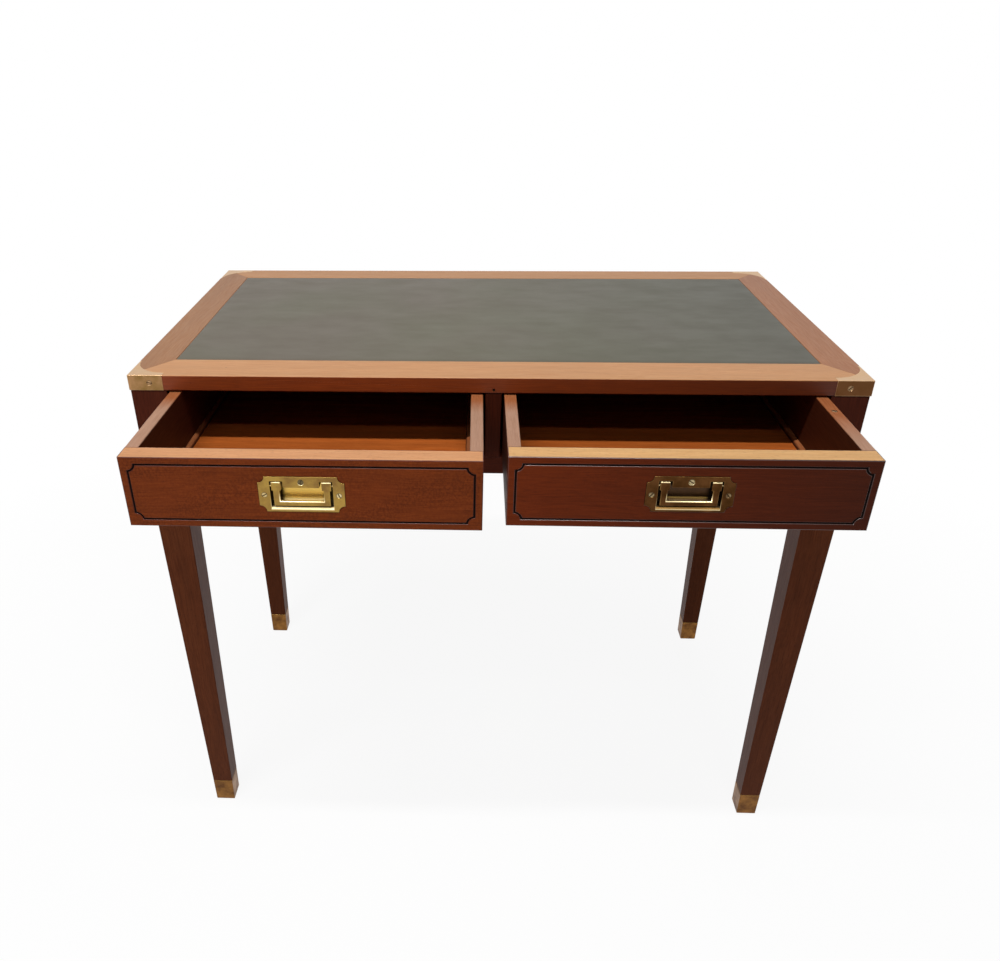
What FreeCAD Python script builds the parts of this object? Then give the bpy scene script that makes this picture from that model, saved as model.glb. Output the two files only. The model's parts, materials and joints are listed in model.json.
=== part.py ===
"""Campaign desk: a leather-topped table with two drawers, brass corner mounts and brass-shod legs.

Frame: +X to the sitter's right, +Y to the back, +Z up.  The origin is on the floor, under the
middle of the desk's outline with both drawers drawn out as far as `pull_left` and `pull_right`.
All lengths are millimetres.
"""

import FreeCAD, Part

import math
import os

import Sketcher

Vector = FreeCAD.Vector

# ---------------------------------------------------------------------------
# Driving dimensions
# ---------------------------------------------------------------------------

SIZES = {
    # whole desk
    "overall_width": 914,
    "overall_depth": 508,
    "overall_height": 762,
    # top: four mitred boards round a panel that carries the leather
    "top_thickness": 20,
    "border_side": 45,
    "border_front": 58,
    "border_back": 48,
    "leather_thickness": 1.2,
    "leather_sink": 0.3,
    "tongue_length": 8,
    "tongue_thickness": 6,
    "edge_peg_radius": 1.8,
    "edge_peg_length": 22,
    "edge_peg_rise": 4.2,
    # brass mounts on the four corners of the top
    "mount_front_leg": 44,
    "mount_side_leg": 52,
    "mount_curve": 42,
    "brass_sheet": 1.8,
    "mount_screw_offset": 27,
    # legs and their brass shoes
    "leg_inset": 1,
    "leg_side": 46,
    "foot_side": 30,
    "shoe_height": 44,
    "shoe_wall": 1.8,
    "shoe_floor": 5,
    "shoe_chamfer": 2.5,
    # frieze
    "frieze_height": 112,
    "apron_thickness": 20,
    "tenon_length": 20,
    "tenon_thickness": 8,
    "tenon_shoulder": 6,
    "rail_height": 23.7,
    "rail_depth": 70,
    "stile_width": 20,
    "stub_tenon": 12,
    "runner_width": 25,
    "centre_runner_width": 60,
    "guide_rise": 36,
    "block_side": 12,
    "block_length": 60,
    "stop_height": 20,
    "stop_length": 23.5,
    # drawers
    "pull_left": 184,
    "pull_right": 172,
    "drawer_side_gap": 3,
    "drawer_top_gap": 2.5,
    "drawer_slide_gap": 0.3,
    "drawer_stop_gap": 0.5,
    "front_thickness": 25,
    "side_thickness": 15,
    "back_thickness": 12,
    "back_drop": 6,
    "bottom_thickness": 5,
    "bottom_rise": 6,
    "bottom_groove": 5,
    "bead_radius": 6,
    "lap": 6,
    "half_pin": 5,
    "pin_width": 7,
    "pin_flare": 3,
    # string inlay on the drawer fronts
    "string_margin": 8,
    "string_width": 2,
    "string_depth": 1.5,
    "string_corner": 8,
    # recessed pulls
    "plate_width": 94.5,
    "plate_height": 43,
    "plate_thickness": 2.5,
    "plate_proud": 0.5,
    "plate_corner": 7.5,
    "cup_half_width": 34.5,
    "cup_bottom": 19,
    "cup_top": 15.8,
    "cup_depth": 12,
    "cup_wall": 2,
    "cup_lip_rise": 3.5,
    "cup_lip_depth": 3,
    "cup_cove": 8,
    "tongue_half_width": 20,
    "tongue_drop": 8.2,
    "bail_thickness": 5,
    "bail_bar": 5.6,
    "bail_arm": 7,
    "bail_reach": 24,
    "pivot_rise": 9.6,
    "lug_side": 10.6,
    "lug_centre": 27.7,
    "pivot_radius": 1.3,
    "pivot_length": 8,
    "pivot_clearance": 0.08,
    "pivot_end_gap": 0.3,
    "plate_screw_offset": 41,
    "plate_screw_drop": 1,
    "tongue_screw_rise": 15,
    # screws
    "screw_head": 3.3,
    "screw_shank": 2.4,
    "screw_length": 12,
    "side_screw_head": 2,
    "side_screw_setback": 131,
}

# Dovetail pins at each end of a drawer side, and glue blocks along the inside of the frieze.
FRONT_PINS = 2
BACK_PINS = 3
SIDE_BLOCKS = 2
BACK_BLOCKS = 3

doc = FreeCAD.newDocument("CampaignDesk")
sheet = doc.addObject("Spreadsheet::Sheet", "Sizes")
for row, (alias, number) in enumerate(SIZES.items(), start=1):
    sheet.set(f"A{row}", alias)
    sheet.set(f"B{row}", str(number))
    sheet.setAlias(f"B{row}", alias)
doc.recompute()


class Dim:
    """A length that carries its number together with the sheet formula that it comes from."""

    def __init__(self, value, text):
        self.value = float(value)
        self.text = text

    def combine(self, other, sign, value):
        return Dim(value, f"({self.text} {sign} {as_dim(other).text})")

    def __add__(self, other):
        return self.combine(other, "+", self.value + as_dim(other).value)

    def __sub__(self, other):
        return self.combine(other, "-", self.value - as_dim(other).value)

    def __mul__(self, other):
        return self.combine(other, "*", self.value * as_dim(other).value)

    def __truediv__(self, other):
        return self.combine(other, "/", self.value / as_dim(other).value)

    def __radd__(self, other):
        return as_dim(other) + self

    def __rsub__(self, other):
        return as_dim(other) - self

    def __rmul__(self, other):
        return as_dim(other) * self

    def __neg__(self):
        return self * -1


def as_dim(number):
    return number if isinstance(number, Dim) else Dim(number, f"({number})")


def size(alias):
    """The named cell of the sheet."""
    return Dim(sheet.get(alias), f"Sizes.{alias}")


def root(dim):
    return Dim(math.sqrt(dim.value), f"sqrt{dim.text}")


def side(sign, near, far):
    """The span from near to far, on the right (+1) or mirrored to the left (-1)."""
    return (near, far) if sign > 0 else (-far, -near)


def middle(span):
    return (span[0] + span[1]) / 2


def divided(span, count):
    """The points that divide a span into one more equal part than their count."""
    step = (span[1] - span[0]) / (count + 1)
    return [span[0] + step * number for number in range(1, count + 1)]


# ---------------------------------------------------------------------------
# Building helpers
# ---------------------------------------------------------------------------

NODES = {}


def bind(obj, path, dim):
    obj.setExpression(path, as_dim(dim).text)


def place(obj, x, y, z):
    for axis, dim in zip("xyz", (x, y, z)):
        bind(obj, f"Placement.Base.{axis}", dim)


def turn(obj, rotation):
    obj.Placement = FreeCAD.Placement(Vector(0, 0, 0), rotation)


def node(label, obj):
    """Names an object as a sub-part of the desk."""
    obj.Label = label
    NODES[label] = obj


def block(name, x, y, z):
    """A rectangular board between three (low, high) spans."""
    box = doc.addObject("Part::Box", name)
    for path, span in (("Length", x), ("Width", y), ("Height", z)):
        bind(box, path, span[1] - span[0])
    place(box, x[0], y[0], z[0])
    return box


def pyramid(name, x, y, z, low_side, high_side):
    """A square prism with straight taper, centred on (x, y), between two heights."""
    wedge = doc.addObject("Part::Wedge", name)
    turn(wedge, FreeCAD.Rotation(Vector(1, 0, 0), 90))
    bind(wedge, "Ymin", 0)
    bind(wedge, "Ymax", z[1] - z[0])
    for low, high in (("X{}", "X2{}"), ("Z{}", "Z2{}")):
        bind(wedge, low.format("min"), -low_side / 2)
        bind(wedge, low.format("max"), low_side / 2)
        bind(wedge, high.format("min"), -high_side / 2)
        bind(wedge, high.format("max"), high_side / 2)
    place(wedge, x, y, z[0])
    return wedge


def rod(name, axis, radius, length, x, y, z):
    """A cylinder that starts at (x, y, z) and runs along the axis."""
    cylinder = doc.addObject("Part::Cylinder", name)
    turn(cylinder, FreeCAD.Rotation(Vector(0, 0, 1), axis))
    bind(cylinder, "Radius", radius)
    bind(cylinder, "Height", length)
    place(cylinder, x, y, z)
    return cylinder


def fuse(name, parts):
    union = doc.addObject("Part::MultiFuse", name)
    union.Shapes = parts
    union.Refine = True
    return union


def cut(name, base, tools):
    """The base with every tool taken out of it."""
    result = doc.addObject("Part::Cut", name)
    result.Base = base
    result.Tool = tools[0] if len(tools) == 1 else fuse(f"{name}_tools", tools)
    result.Refine = True
    return result


def group(name, parts):
    """Like pieces kept together as separate solids."""
    compound = doc.addObject("Part::Compound", name)
    compound.Links = parts
    return compound


def origin_feature(body, role):
    return next(feature for feature in body.Origin.OriginFeatures if feature.Role == role)


def add_loop(sketch, corners):
    """Adds a closed outline.

    A corner is (u, v), or (u, v, (centre_u, centre_v, radius)) where the edge that leaves it is an
    arc.  Each corner is held by its two coordinates and each arc by its radius as well.
    """
    first = sketch.GeometryCount
    ends = []
    count = len(corners)
    for index, corner in enumerate(corners):
        here = Vector(corner[0].value, corner[1].value, 0)
        after = corners[(index + 1) % count]
        there = Vector(after[0].value, after[1].value, 0)
        if len(corner) == 2:
            sketch.addGeometry(Part.LineSegment(here, there), False)
            ends.append((1, 2))
            continue
        centre_u, centre_v, radius = corner[2]
        centre = Vector(centre_u.value, centre_v.value, 0)
        begin = math.atan2(here.y - centre.y, here.x - centre.x)
        finish = math.atan2(there.y - centre.y, there.x - centre.x)
        forward = (finish - begin) % (2 * math.pi) < math.pi
        angles = (begin, finish) if forward else (finish, begin)
        circle = Part.Circle(centre, Vector(0, 0, 1), radius.value)
        sketch.addGeometry(Part.ArcOfCircle(circle, *angles), False)
        ends.append((1, 2) if forward else (2, 1))
    for index, corner in enumerate(corners):
        edge = first + index
        after = (index + 1) % count
        sketch.addConstraint(
            Sketcher.Constraint("Coincident", edge, ends[index][1], first + after, ends[after][0])
        )
        for kind, dim in (("DistanceX", corner[0]), ("DistanceY", corner[1])):
            hold(sketch, Sketcher.Constraint(kind, edge, ends[index][0], dim.value), dim)
        if len(corner) == 3:
            radius = corner[2][2]
            hold(sketch, Sketcher.Constraint("Radius", edge, radius.value), radius)


def hold(sketch, constraint, dim):
    """Adds a dimension to a sketch and ties it to the sheet."""
    index = sketch.addConstraint(constraint)
    sketch.setExpression(f"Constraints[{index}]", dim.text)


def attach(body, name, role, offset):
    """An empty sketch parallel to one of the body's own origin planes."""
    sketch = body.newObject("Sketcher::SketchObject", name)
    sketch.AttachmentSupport = [(origin_feature(body, role), "")]
    sketch.MapMode = "FlatFace"
    bind(sketch, "AttachmentOffset.Base.z", offset)
    return sketch


def new_body(name):
    return doc.addObject("PartDesign::Body", name)


def pad(body, name, role, loops, span):
    """Pads closed outlines across a (low, high) span along the axis that the plane faces.

    XY_Plane faces +Z, YZ_Plane +X and XZ_Plane -Y, so a pad on XZ_Plane starts at the high end.
    """
    offset = -span[1] if role == "XZ_Plane" else span[0]
    sketch = attach(body, f"{name}_outline", role, as_dim(offset))
    for corners in loops:
        add_loop(sketch, corners)
    feature = body.newObject("PartDesign::Pad", name)
    feature.Profile = sketch
    bind(feature, "Length", span[1] - span[0])
    return feature


def rectangle(u, v):
    return [(u[0], v[0]), (u[1], v[0]), (u[1], v[1]), (u[0], v[1])]


def mirrored(corners):
    """Closes a half outline, given from bottom to top on the +u side, with its mirror image."""
    return corners + [(-corner[0], corner[1]) for corner in reversed(corners)]


# ---------------------------------------------------------------------------
# Shared layout
# ---------------------------------------------------------------------------

ZERO = as_dim(0)
WIDTH = size("overall_width")
HEIGHT = size("overall_height")
TOP_THICKNESS = size("top_thickness")
INSET = size("leg_inset")
LEG = size("leg_side")
APRON = size("apron_thickness")
SHEET = size("brass_sheet")
STILE = size("stile_width")

MID_DEPTH = (size("pull_left") + size("plate_proud") - INSET) / 2
TOP_X = (-WIDTH / 2, WIDTH / 2)
TOP_Y = (MID_DEPTH - size("overall_depth") / 2, MID_DEPTH + size("overall_depth") / 2)
UNDER_TOP = HEIGHT - TOP_THICKNESS
FRIEZE_BOTTOM = UNDER_TOP - size("frieze_height")
FACE = TOP_Y[0] + INSET
REAR = TOP_Y[1] - INSET
LEG_OUTER = WIDTH / 2 - INSET
LEG_INNER = LEG_OUTER - LEG
APRON_INNER = LEG_OUTER - APRON
BACK_INNER = REAR - APRON
RAIL_TOP = FRIEZE_BOTTOM + size("rail_height")
RAIL_BACK = FACE + size("rail_depth")
DRAWER_Z = (RAIL_TOP + size("drawer_slide_gap"), UNDER_TOP - size("drawer_top_gap"))
DRAWER_X = (STILE / 2 + size("drawer_side_gap"), LEG_INNER - size("drawer_side_gap"))
DRAWER_END = BACK_INNER - size("stop_length") - size("drawer_stop_gap")
DRAWER_LENGTH = DRAWER_END - FACE
BETWEEN_LEGS = (FACE + LEG, REAR - LEG)

LEG_NAMES = {(-1, -1): "front_left", (1, -1): "front_right", (-1, 1): "back_left", (1, 1): "back_right"}


# ---------------------------------------------------------------------------
# Screws
# ---------------------------------------------------------------------------


def screw(name, x, y, z, rotation, seat):
    """A flush brass screw: its head's face is at (x, y, z) and its head is as deep as its seat.

    It is made head up along +Z and then turned, so that its shank points into the wood.  The shank
    is a plain square bar in place of the threaded round.
    """
    half = size("screw_shank") / 2
    head = rod(f"{name}_head", Vector(0, 0, 1), size("screw_head"), seat, ZERO, ZERO, -seat)
    shank = block(f"{name}_shank", (-half, half), (-half, half), (-size("screw_length"), -seat))
    whole = fuse(name, [head, shank])
    turn(whole, rotation)
    place(whole, x, y, z)
    return whole


FACING_FRONT = FreeCAD.Rotation(Vector(1, 0, 0), 90)
FACING_BACK = FreeCAD.Rotation(Vector(1, 0, 0), -90)
FACING_LEFT = FreeCAD.Rotation(Vector(0, 1, 0), -90)
FACING_RIGHT = FreeCAD.Rotation(Vector(0, 1, 0), 90)
FACING_UP = FreeCAD.Rotation()


# ---------------------------------------------------------------------------
# Top
# ---------------------------------------------------------------------------


def corner_mount(x_sign, y_sign):
    """One brass mount: a top flange with a hollow quarter-round edge and two edge flanges.

    The body's origin is the outer corner of the top's upper face, and the flanges run inwards.
    """
    front_leg = size("mount_front_leg")
    side_leg = size("mount_side_leg")
    curve = size("mount_curve")

    def at(u, v):
        return (u * -x_sign, v * -y_sign)

    name = f"mount_{LEG_NAMES[x_sign, y_sign]}"
    body = new_body(name)
    arc = (*at(front_leg, side_leg), curve)
    flange = [
        at(ZERO, ZERO),
        at(front_leg, ZERO),
        (*at(front_leg, side_leg - curve), arc),
        at(front_leg - curve, side_leg),
        at(ZERO, side_leg),
    ]
    edges = [
        at(ZERO, ZERO),
        at(front_leg, ZERO),
        at(front_leg, SHEET),
        at(SHEET, SHEET),
        at(SHEET, side_leg),
        at(ZERO, side_leg),
    ]
    pad(body, f"{name}_flange", "XY_Plane", [flange], (-SHEET, ZERO))
    pad(body, f"{name}_edges", "XY_Plane", [edges], (-TOP_THICKNESS, ZERO))
    corner_y = TOP_Y[0] if y_sign < 0 else TOP_Y[1]
    place(body, x_sign * WIDTH / 2, corner_y, HEIGHT)
    return body


def mount_screws(x_sign, y_sign):
    """The two screws of one corner mount: one in the long edge and one in the end."""
    name = f"mount_screw_{LEG_NAMES[x_sign, y_sign]}"
    offset = size("mount_screw_offset")
    level = HEIGHT - TOP_THICKNESS / 2
    end_x = x_sign * WIDTH / 2
    edge_y = TOP_Y[0] if y_sign < 0 else TOP_Y[1]
    edge_turn = FACING_FRONT if y_sign < 0 else FACING_BACK
    end_turn = FACING_LEFT if x_sign < 0 else FACING_RIGHT
    return [
        screw(f"{name}_edge", end_x - x_sign * offset, edge_y, level, edge_turn, SHEET),
        screw(f"{name}_end", end_x, edge_y - y_sign * offset, level, end_turn, SHEET),
    ]


def build_top():
    inner_x = (TOP_X[0] + size("border_side"), TOP_X[1] - size("border_side"))
    inner_y = (TOP_Y[0] + size("border_front"), TOP_Y[1] - size("border_back"))
    tongue = size("tongue_length")
    tongue_z = UNDER_TOP + (TOP_THICKNESS - size("tongue_thickness")) / 2
    leather_z = (
        HEIGHT - size("leather_sink") - size("leather_thickness"),
        HEIGHT - size("leather_sink"),
    )

    core = block("panel_core", inner_x, inner_y, (UNDER_TOP, leather_z[0]))
    lip = block(
        "panel_tongue",
        (inner_x[0] - tongue, inner_x[1] + tongue),
        (inner_y[0] - tongue, inner_y[1] + tongue),
        (tongue_z, tongue_z + size("tongue_thickness")),
    )
    node("top_panel", fuse("panel", [core, lip]))
    node("writing_leather", block("leather", inner_x, inner_y, leather_z))

    mounts = []
    screws = []
    for signs, where in LEG_NAMES.items():
        mount = corner_mount(*signs)
        fixings = mount_screws(*signs)
        node(f"corner_mount_{where}", cut(f"mount_{where}_drilled", mount, fixings))
        mounts.append(mount)
        screws += fixings
    node("corner_mount_screws", group("mount_screws", screws))

    peg = rod(
        "edge_peg_turned",
        Vector(0, 1, 0),
        size("edge_peg_radius"),
        size("edge_peg_length"),
        ZERO,
        TOP_Y[0],
        UNDER_TOP + size("edge_peg_rise"),
    )
    node("edge_peg", peg)

    outlines = {
        "front": [
            (TOP_X[0], TOP_Y[0]), (TOP_X[1], TOP_Y[0]), (inner_x[1], inner_y[0]), (inner_x[0], inner_y[0])
        ],
        "back": [
            (TOP_X[1], TOP_Y[1]), (TOP_X[0], TOP_Y[1]), (inner_x[0], inner_y[1]), (inner_x[1], inner_y[1])
        ],
        "left": [
            (TOP_X[0], TOP_Y[1]), (TOP_X[0], TOP_Y[0]), (inner_x[0], inner_y[0]), (inner_x[0], inner_y[1])
        ],
        "right": [
            (TOP_X[1], TOP_Y[0]), (TOP_X[1], TOP_Y[1]), (inner_x[1], inner_y[1]), (inner_x[1], inner_y[0])
        ],
    }
    for where, corners in outlines.items():
        board = new_body(f"board_{where}")
        pad(board, f"board_{where}_pad", "XY_Plane", [corners], (-TOP_THICKNESS, ZERO))
        place(board, ZERO, ZERO, HEIGHT)
        tools = [lip, *screws, *mounts]
        if where == "front":
            tools.append(peg)
        node(f"top_frame_{where}", cut(f"board_{where}_fitted", board, tools))


# ---------------------------------------------------------------------------
# Legs, shoes and frieze
# ---------------------------------------------------------------------------


def leg_side_at(height):
    """The leg's square section at a height in its tapered length."""
    foot = size("foot_side")
    return foot + (LEG - foot) * height / FRIEZE_BOTTOM


def build_legs_and_frieze():
    shoe_top = size("shoe_height")
    chamfer = size("shoe_chamfer")
    floor = size("shoe_floor")
    wall = size("shoe_wall") * 2

    shoulder = size("tenon_shoulder")
    length = size("tenon_length")
    thickness = size("tenon_thickness")
    frieze_z = (FRIEZE_BOTTOM, UNDER_TOP)
    tenon_z = (FRIEZE_BOTTOM + shoulder, UNDER_TOP - shoulder)
    tenons = []

    for sign, where in ((-1, "left"), (1, "right")):
        board = block(f"apron_{where}_board", side(sign, APRON_INNER, LEG_OUTER), BETWEEN_LEGS, frieze_z)
        ends = block(
            f"apron_{where}_tenons",
            side(sign, LEG_OUTER - shoulder - thickness, LEG_OUTER - shoulder),
            (BETWEEN_LEGS[0] - length, BETWEEN_LEGS[1] + length),
            tenon_z,
        )
        tenons.append(ends)
        node(f"apron_{where}", fuse(f"apron_{where}_joined", [board, ends]))

    board = block("apron_back_board", (-LEG_INNER, LEG_INNER), (BACK_INNER, REAR), frieze_z)
    ends = block(
        "apron_back_tenons",
        (-LEG_INNER - length, LEG_INNER + length),
        (REAR - shoulder - thickness, REAR - shoulder),
        tenon_z,
    )
    tenons.append(ends)
    node("apron_back", fuse("apron_back_joined", [board, ends]))

    rail_z = (FRIEZE_BOTTOM, RAIL_TOP)
    stub = block(
        "stile_stub",
        (-STILE / 4, STILE / 4),
        (FACE + shoulder * 2, FACE + LEG - shoulder * 2),
        (RAIL_TOP - size("stub_tenon"), RAIL_TOP),
    )
    post = block("stile_post", (-STILE / 2, STILE / 2), (FACE, FACE + LEG), (RAIL_TOP, UNDER_TOP))
    node("centre_stile", fuse("stile_joined", [post, stub]))

    rail_board = block("rail_board", (-LEG_INNER, LEG_INNER), (FACE, RAIL_BACK), rail_z)
    rail_ends = block(
        "rail_tenons",
        (-LEG_INNER - length, LEG_INNER + length),
        (FACE + shoulder * 2, FACE + LEG - shoulder * 2 - thickness),
        (FRIEZE_BOTTOM + shoulder, RAIL_TOP - shoulder),
    )
    tenons.append(rail_ends)
    node("drawer_rail", cut("rail_fitted", fuse("rail_joined", [rail_board, rail_ends]), [stub]))

    for (x_sign, y_sign), where in LEG_NAMES.items():
        leg_x = side(x_sign, LEG_INNER, LEG_OUTER)
        leg_y = (FACE, FACE + LEG) if y_sign < 0 else (REAR - LEG, REAR)
        x, y = middle(leg_x), middle(leg_y)
        post = block(f"leg_{where}_post", leg_x, leg_y, frieze_z)
        taper = pyramid(
            f"leg_{where}_taper", x, y, (shoe_top, FRIEZE_BOTTOM), leg_side_at(shoe_top), LEG
        )
        core = pyramid(
            f"leg_{where}_core",
            x,
            y,
            (floor, shoe_top),
            leg_side_at(floor) - wall,
            leg_side_at(shoe_top) - wall,
        )
        blank = fuse(f"leg_{where}_blank", [post, taper, core])
        node(f"leg_{where}", cut(f"leg_{where}_mortised", blank, tenons))

        sole = pyramid(
            f"shoe_{where}_sole",
            x,
            y,
            (ZERO, chamfer),
            leg_side_at(ZERO) - chamfer * 2,
            leg_side_at(chamfer),
        )
        shell = pyramid(
            f"shoe_{where}_shell",
            x,
            y,
            (chamfer, shoe_top),
            leg_side_at(chamfer),
            leg_side_at(shoe_top),
        )
        solid = fuse(f"shoe_{where}_solid", [sole, shell])
        node(f"sabot_{where}", cut(f"shoe_{where}_hollow", solid, [core]))


def build_runners():
    """Runners level with the rail, guides beside the drawers, end stops and glue blocks."""
    runner_y = (RAIL_BACK, BACK_INNER)
    runner_z = (FRIEZE_BOTTOM, RAIL_TOP)
    guide_top = RAIL_TOP + size("guide_rise")
    runner = size("runner_width")
    centre = size("centre_runner_width") / 2
    stop_y = (BACK_INNER - size("stop_length"), BACK_INNER)
    stop_z = (RAIL_TOP, RAIL_TOP + size("stop_height"))
    block_side = size("block_side")
    half_block = size("block_length") / 2
    block_z = (UNDER_TOP - block_side, UNDER_TOP)
    stops = []
    blocks = []

    for sign, where in ((-1, "left"), (1, "right")):
        runner_x = side(sign, LEG_INNER - runner, LEG_INNER)
        node(f"runner_{where}", block(f"runner_{where}_bar", runner_x, runner_y, runner_z))
        guide_x = side(sign, LEG_INNER, APRON_INNER)
        node(
            f"guide_{where}",
            block(f"guide_{where}_bar", guide_x, BETWEEN_LEGS, (FRIEZE_BOTTOM, guide_top)),
        )
        stops.append(block(f"stop_{where}_outer", runner_x, stop_y, stop_z))
        stops.append(block(f"stop_{where}_inner", side(sign, STILE / 2, centre), stop_y, stop_z))
        block_x = side(sign, APRON_INNER - block_side, APRON_INNER)
        for number, y in enumerate(divided(BETWEEN_LEGS, SIDE_BLOCKS)):
            blocks.append(
                block(f"block_{where}_{number}", block_x, (y - half_block, y + half_block), block_z)
            )

    node("runner_centre", block("runner_centre_bar", (-centre, centre), runner_y, runner_z))
    node(
        "guide_centre",
        block("guide_centre_bar", (-STILE / 2, STILE / 2), (FACE + LEG, BACK_INNER), (RAIL_TOP, guide_top)),
    )
    for number, x in enumerate(divided((-LEG_INNER, LEG_INNER), BACK_BLOCKS)):
        blocks.append(
            block(
                f"block_back_{number}",
                (x - half_block, x + half_block),
                (BACK_INNER - block_side, BACK_INNER),
                block_z,
            )
        )
    node("drawer_stops", group("stops", stops))
    node("glue_blocks", group("blocks", blocks))


# ---------------------------------------------------------------------------
# Drawers
# ---------------------------------------------------------------------------


def dovetailed_end(tip, shoulder, level, pin_heights):
    """Corners down or up one end of a drawer side, between tails that widen towards the tip.

    Each pin of the meeting board leaves a notch: narrow at the tip and wider at the shoulder.
    """
    narrow = size("pin_width") / 2
    wide = narrow + size("pin_flare")
    corners = [(tip, level[0])]
    for height in pin_heights:
        corners += [
            (tip, height - narrow),
            (shoulder, height - wide),
            (shoulder, height + wide),
            (tip, height + narrow),
        ]
    corners.append((tip, level[1]))
    return corners


def drawer_side(name, x, y, z):
    """A drawer side in its own frame: u runs back from the front board's rear face."""
    lap_tip = size("lap") - size("front_thickness")
    half_pin = size("half_pin")
    length = y[1] - y[0]
    height = z[1] - z[0]
    shoulder = length - size("back_thickness")
    tails = (half_pin, height - half_pin)
    back_z = (size("bottom_rise") + size("bottom_thickness"), height - size("back_drop"))
    front = dovetailed_end(lap_tip, ZERO, tails, divided(tails, FRONT_PINS))
    rear = dovetailed_end(length, shoulder, (ZERO, height), divided(back_z, BACK_PINS))
    corners = [(ZERO, ZERO), (ZERO, half_pin), *front, (ZERO, height - half_pin), (ZERO, height)]
    corners += list(reversed(rear))
    body = new_body(name)
    pad(body, f"{name}_pad", "YZ_Plane", [corners], (ZERO, x[1] - x[0]))
    place(body, x[0], y[0], z[0])
    return body


def string_loop(half_width, half_height, corner, inset):
    """A rectangle with hollow quarter-round corners, struck about the corners of the full size."""
    radius = corner + inset
    reach = root(radius * radius - inset * inset)
    corners = []
    for u_sign, v_sign, u_first in ((1, -1, False), (1, 1, True), (-1, 1, False), (-1, -1, True)):
        centre = (half_width * u_sign, half_height * v_sign)
        along_u = ((half_width - reach) * u_sign, (half_height - inset) * v_sign)
        along_v = ((half_width - inset) * u_sign, (half_height - reach) * v_sign)
        ordered = (along_v, along_u) if u_first else (along_u, along_v)
        corners += [(*ordered[0], (*centre, radius)), ordered[1]]
    return corners


def string_inlay(name, half_width, half_height):
    margin = size("string_margin")
    width = half_width - margin
    height = half_height - margin
    corner = size("string_corner")
    body = new_body(name)
    loops = [
        string_loop(width, height, corner, ZERO),
        string_loop(width, height, corner, size("string_width")),
    ]
    pad(body, f"{name}_pad", "XZ_Plane", loops, (ZERO, size("string_depth")))
    return body


def pull_outline():
    """The plate's outline: a rectangle with a hollow quarter round at each corner."""
    return string_loop(size("plate_width") / 2, size("plate_height") / 2, size("plate_corner"), ZERO)


def cup_outline():
    """The recess that the bail hangs in: a U upside down, on both sides of the plate's tongue."""
    half = size("cup_half_width")
    tongue = size("tongue_half_width")
    return mirrored(
        [
            (half, -size("cup_bottom")),
            (half, size("cup_top")),
            (tongue, size("cup_top")),
            (tongue, size("tongue_drop")),
        ]
    )


def dish_outline(face):
    """The floor of the cup, seen from the side: a sloping lip, a level run, and a cove at the back."""
    bottom = -size("cup_bottom")
    level = bottom + size("cup_lip_rise")
    back = size("cup_depth")
    cove = size("cup_cove")
    return [
        (face, bottom),
        (face + size("cup_lip_depth"), level),
        (back - cove, level, (back - cove, level + cove, cove)),
        (back, level + cove),
        (back, bottom),
    ]


def casing_outline():
    """The outside of the cup behind the plate."""
    wall = size("cup_wall")
    half = size("cup_half_width") + wall
    return rectangle((-half, half), (-size("cup_bottom") - wall, size("cup_top") + wall))


def pull(name, x, y, z):
    """The recessed brass pull.  Returns its casting, the bail, its pivots and the screws.

    Bodies have their origin at the middle of the plate, on the drawer front's face.
    """
    proud = size("plate_proud")
    face = -proud
    depth = size("cup_depth")

    casting = new_body(f"{name}_casting")
    pad(casting, f"{name}_plate", "XZ_Plane", [pull_outline()], (face, size("plate_thickness") - proud))
    pad(casting, f"{name}_casing", "XZ_Plane", [casing_outline()], (face, depth + size("cup_wall")))
    place(casting, x, y, z)

    opening = new_body(f"{name}_opening")
    pad(opening, f"{name}_opening_pad", "XZ_Plane", [cup_outline()], (face, depth))
    place(opening, x, y, z)

    half_cup = size("cup_half_width")
    dish = new_body(f"{name}_dish")
    pad(dish, f"{name}_dish_pad", "YZ_Plane", [dish_outline(face)], (-half_cup, half_cup))
    place(dish, x, y, z)
    hollow = cut(f"{name}_hollow", opening, [dish])

    bail_y = (face, face + size("bail_thickness"))
    lug_half = size("lug_side") / 2
    pivot = size("pivot_rise")
    lug = size("lug_centre")
    arm_half = size("bail_arm") / 2
    bar_low = pivot - size("bail_reach")
    bar_high = bar_low + size("bail_bar")
    bail_corners = mirrored(
        [
            (lug + arm_half, bar_low),
            (lug + arm_half, pivot - lug_half),
            (lug + lug_half, pivot - lug_half),
            (lug + lug_half, pivot + lug_half),
            (lug - lug_half, pivot + lug_half),
            (lug - lug_half, pivot - lug_half),
            (lug - arm_half, pivot - lug_half),
            (lug - arm_half, bar_high),
        ]
    )
    bail = new_body(f"{name}_bail_body")
    pad(bail, f"{name}_bail_pad", "XZ_Plane", [bail_corners], bail_y)
    place(bail, x, y, z)

    pivots = []
    bores = []
    pin = size("pivot_radius")
    centre = (y + middle(bail_y), z + pivot)
    casing_side = size("cup_half_width") + size("cup_wall")
    inner_end = casing_side - size("pivot_length")
    for sign, where in ((-1, "left"), (1, "right")):
        for kind, radius, outer_end, kept in (
            ("pivot", pin, casing_side - size("pivot_end_gap"), pivots),
            ("bore", pin + size("pivot_clearance"), casing_side, bores),
        ):
            start, finish = side(sign, inner_end, outer_end)
            label = f"{name}_{kind}_{where}"
            kept.append(rod(label, Vector(1, 0, 0), radius, finish - start, x + start, *centre))

    offset = size("plate_screw_offset")
    drop = size("plate_screw_drop")
    screws = [
        screw(f"{name}_screw_{where}", x + u, y + face, z + v, FACING_FRONT, size("plate_thickness"))
        for where, u, v in (
            ("top", ZERO, size("tongue_screw_rise")),
            ("left", -offset, -drop),
            ("right", offset, -drop),
        )
    ]
    return casting, hollow, bail, pivots, bores, screws


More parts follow.
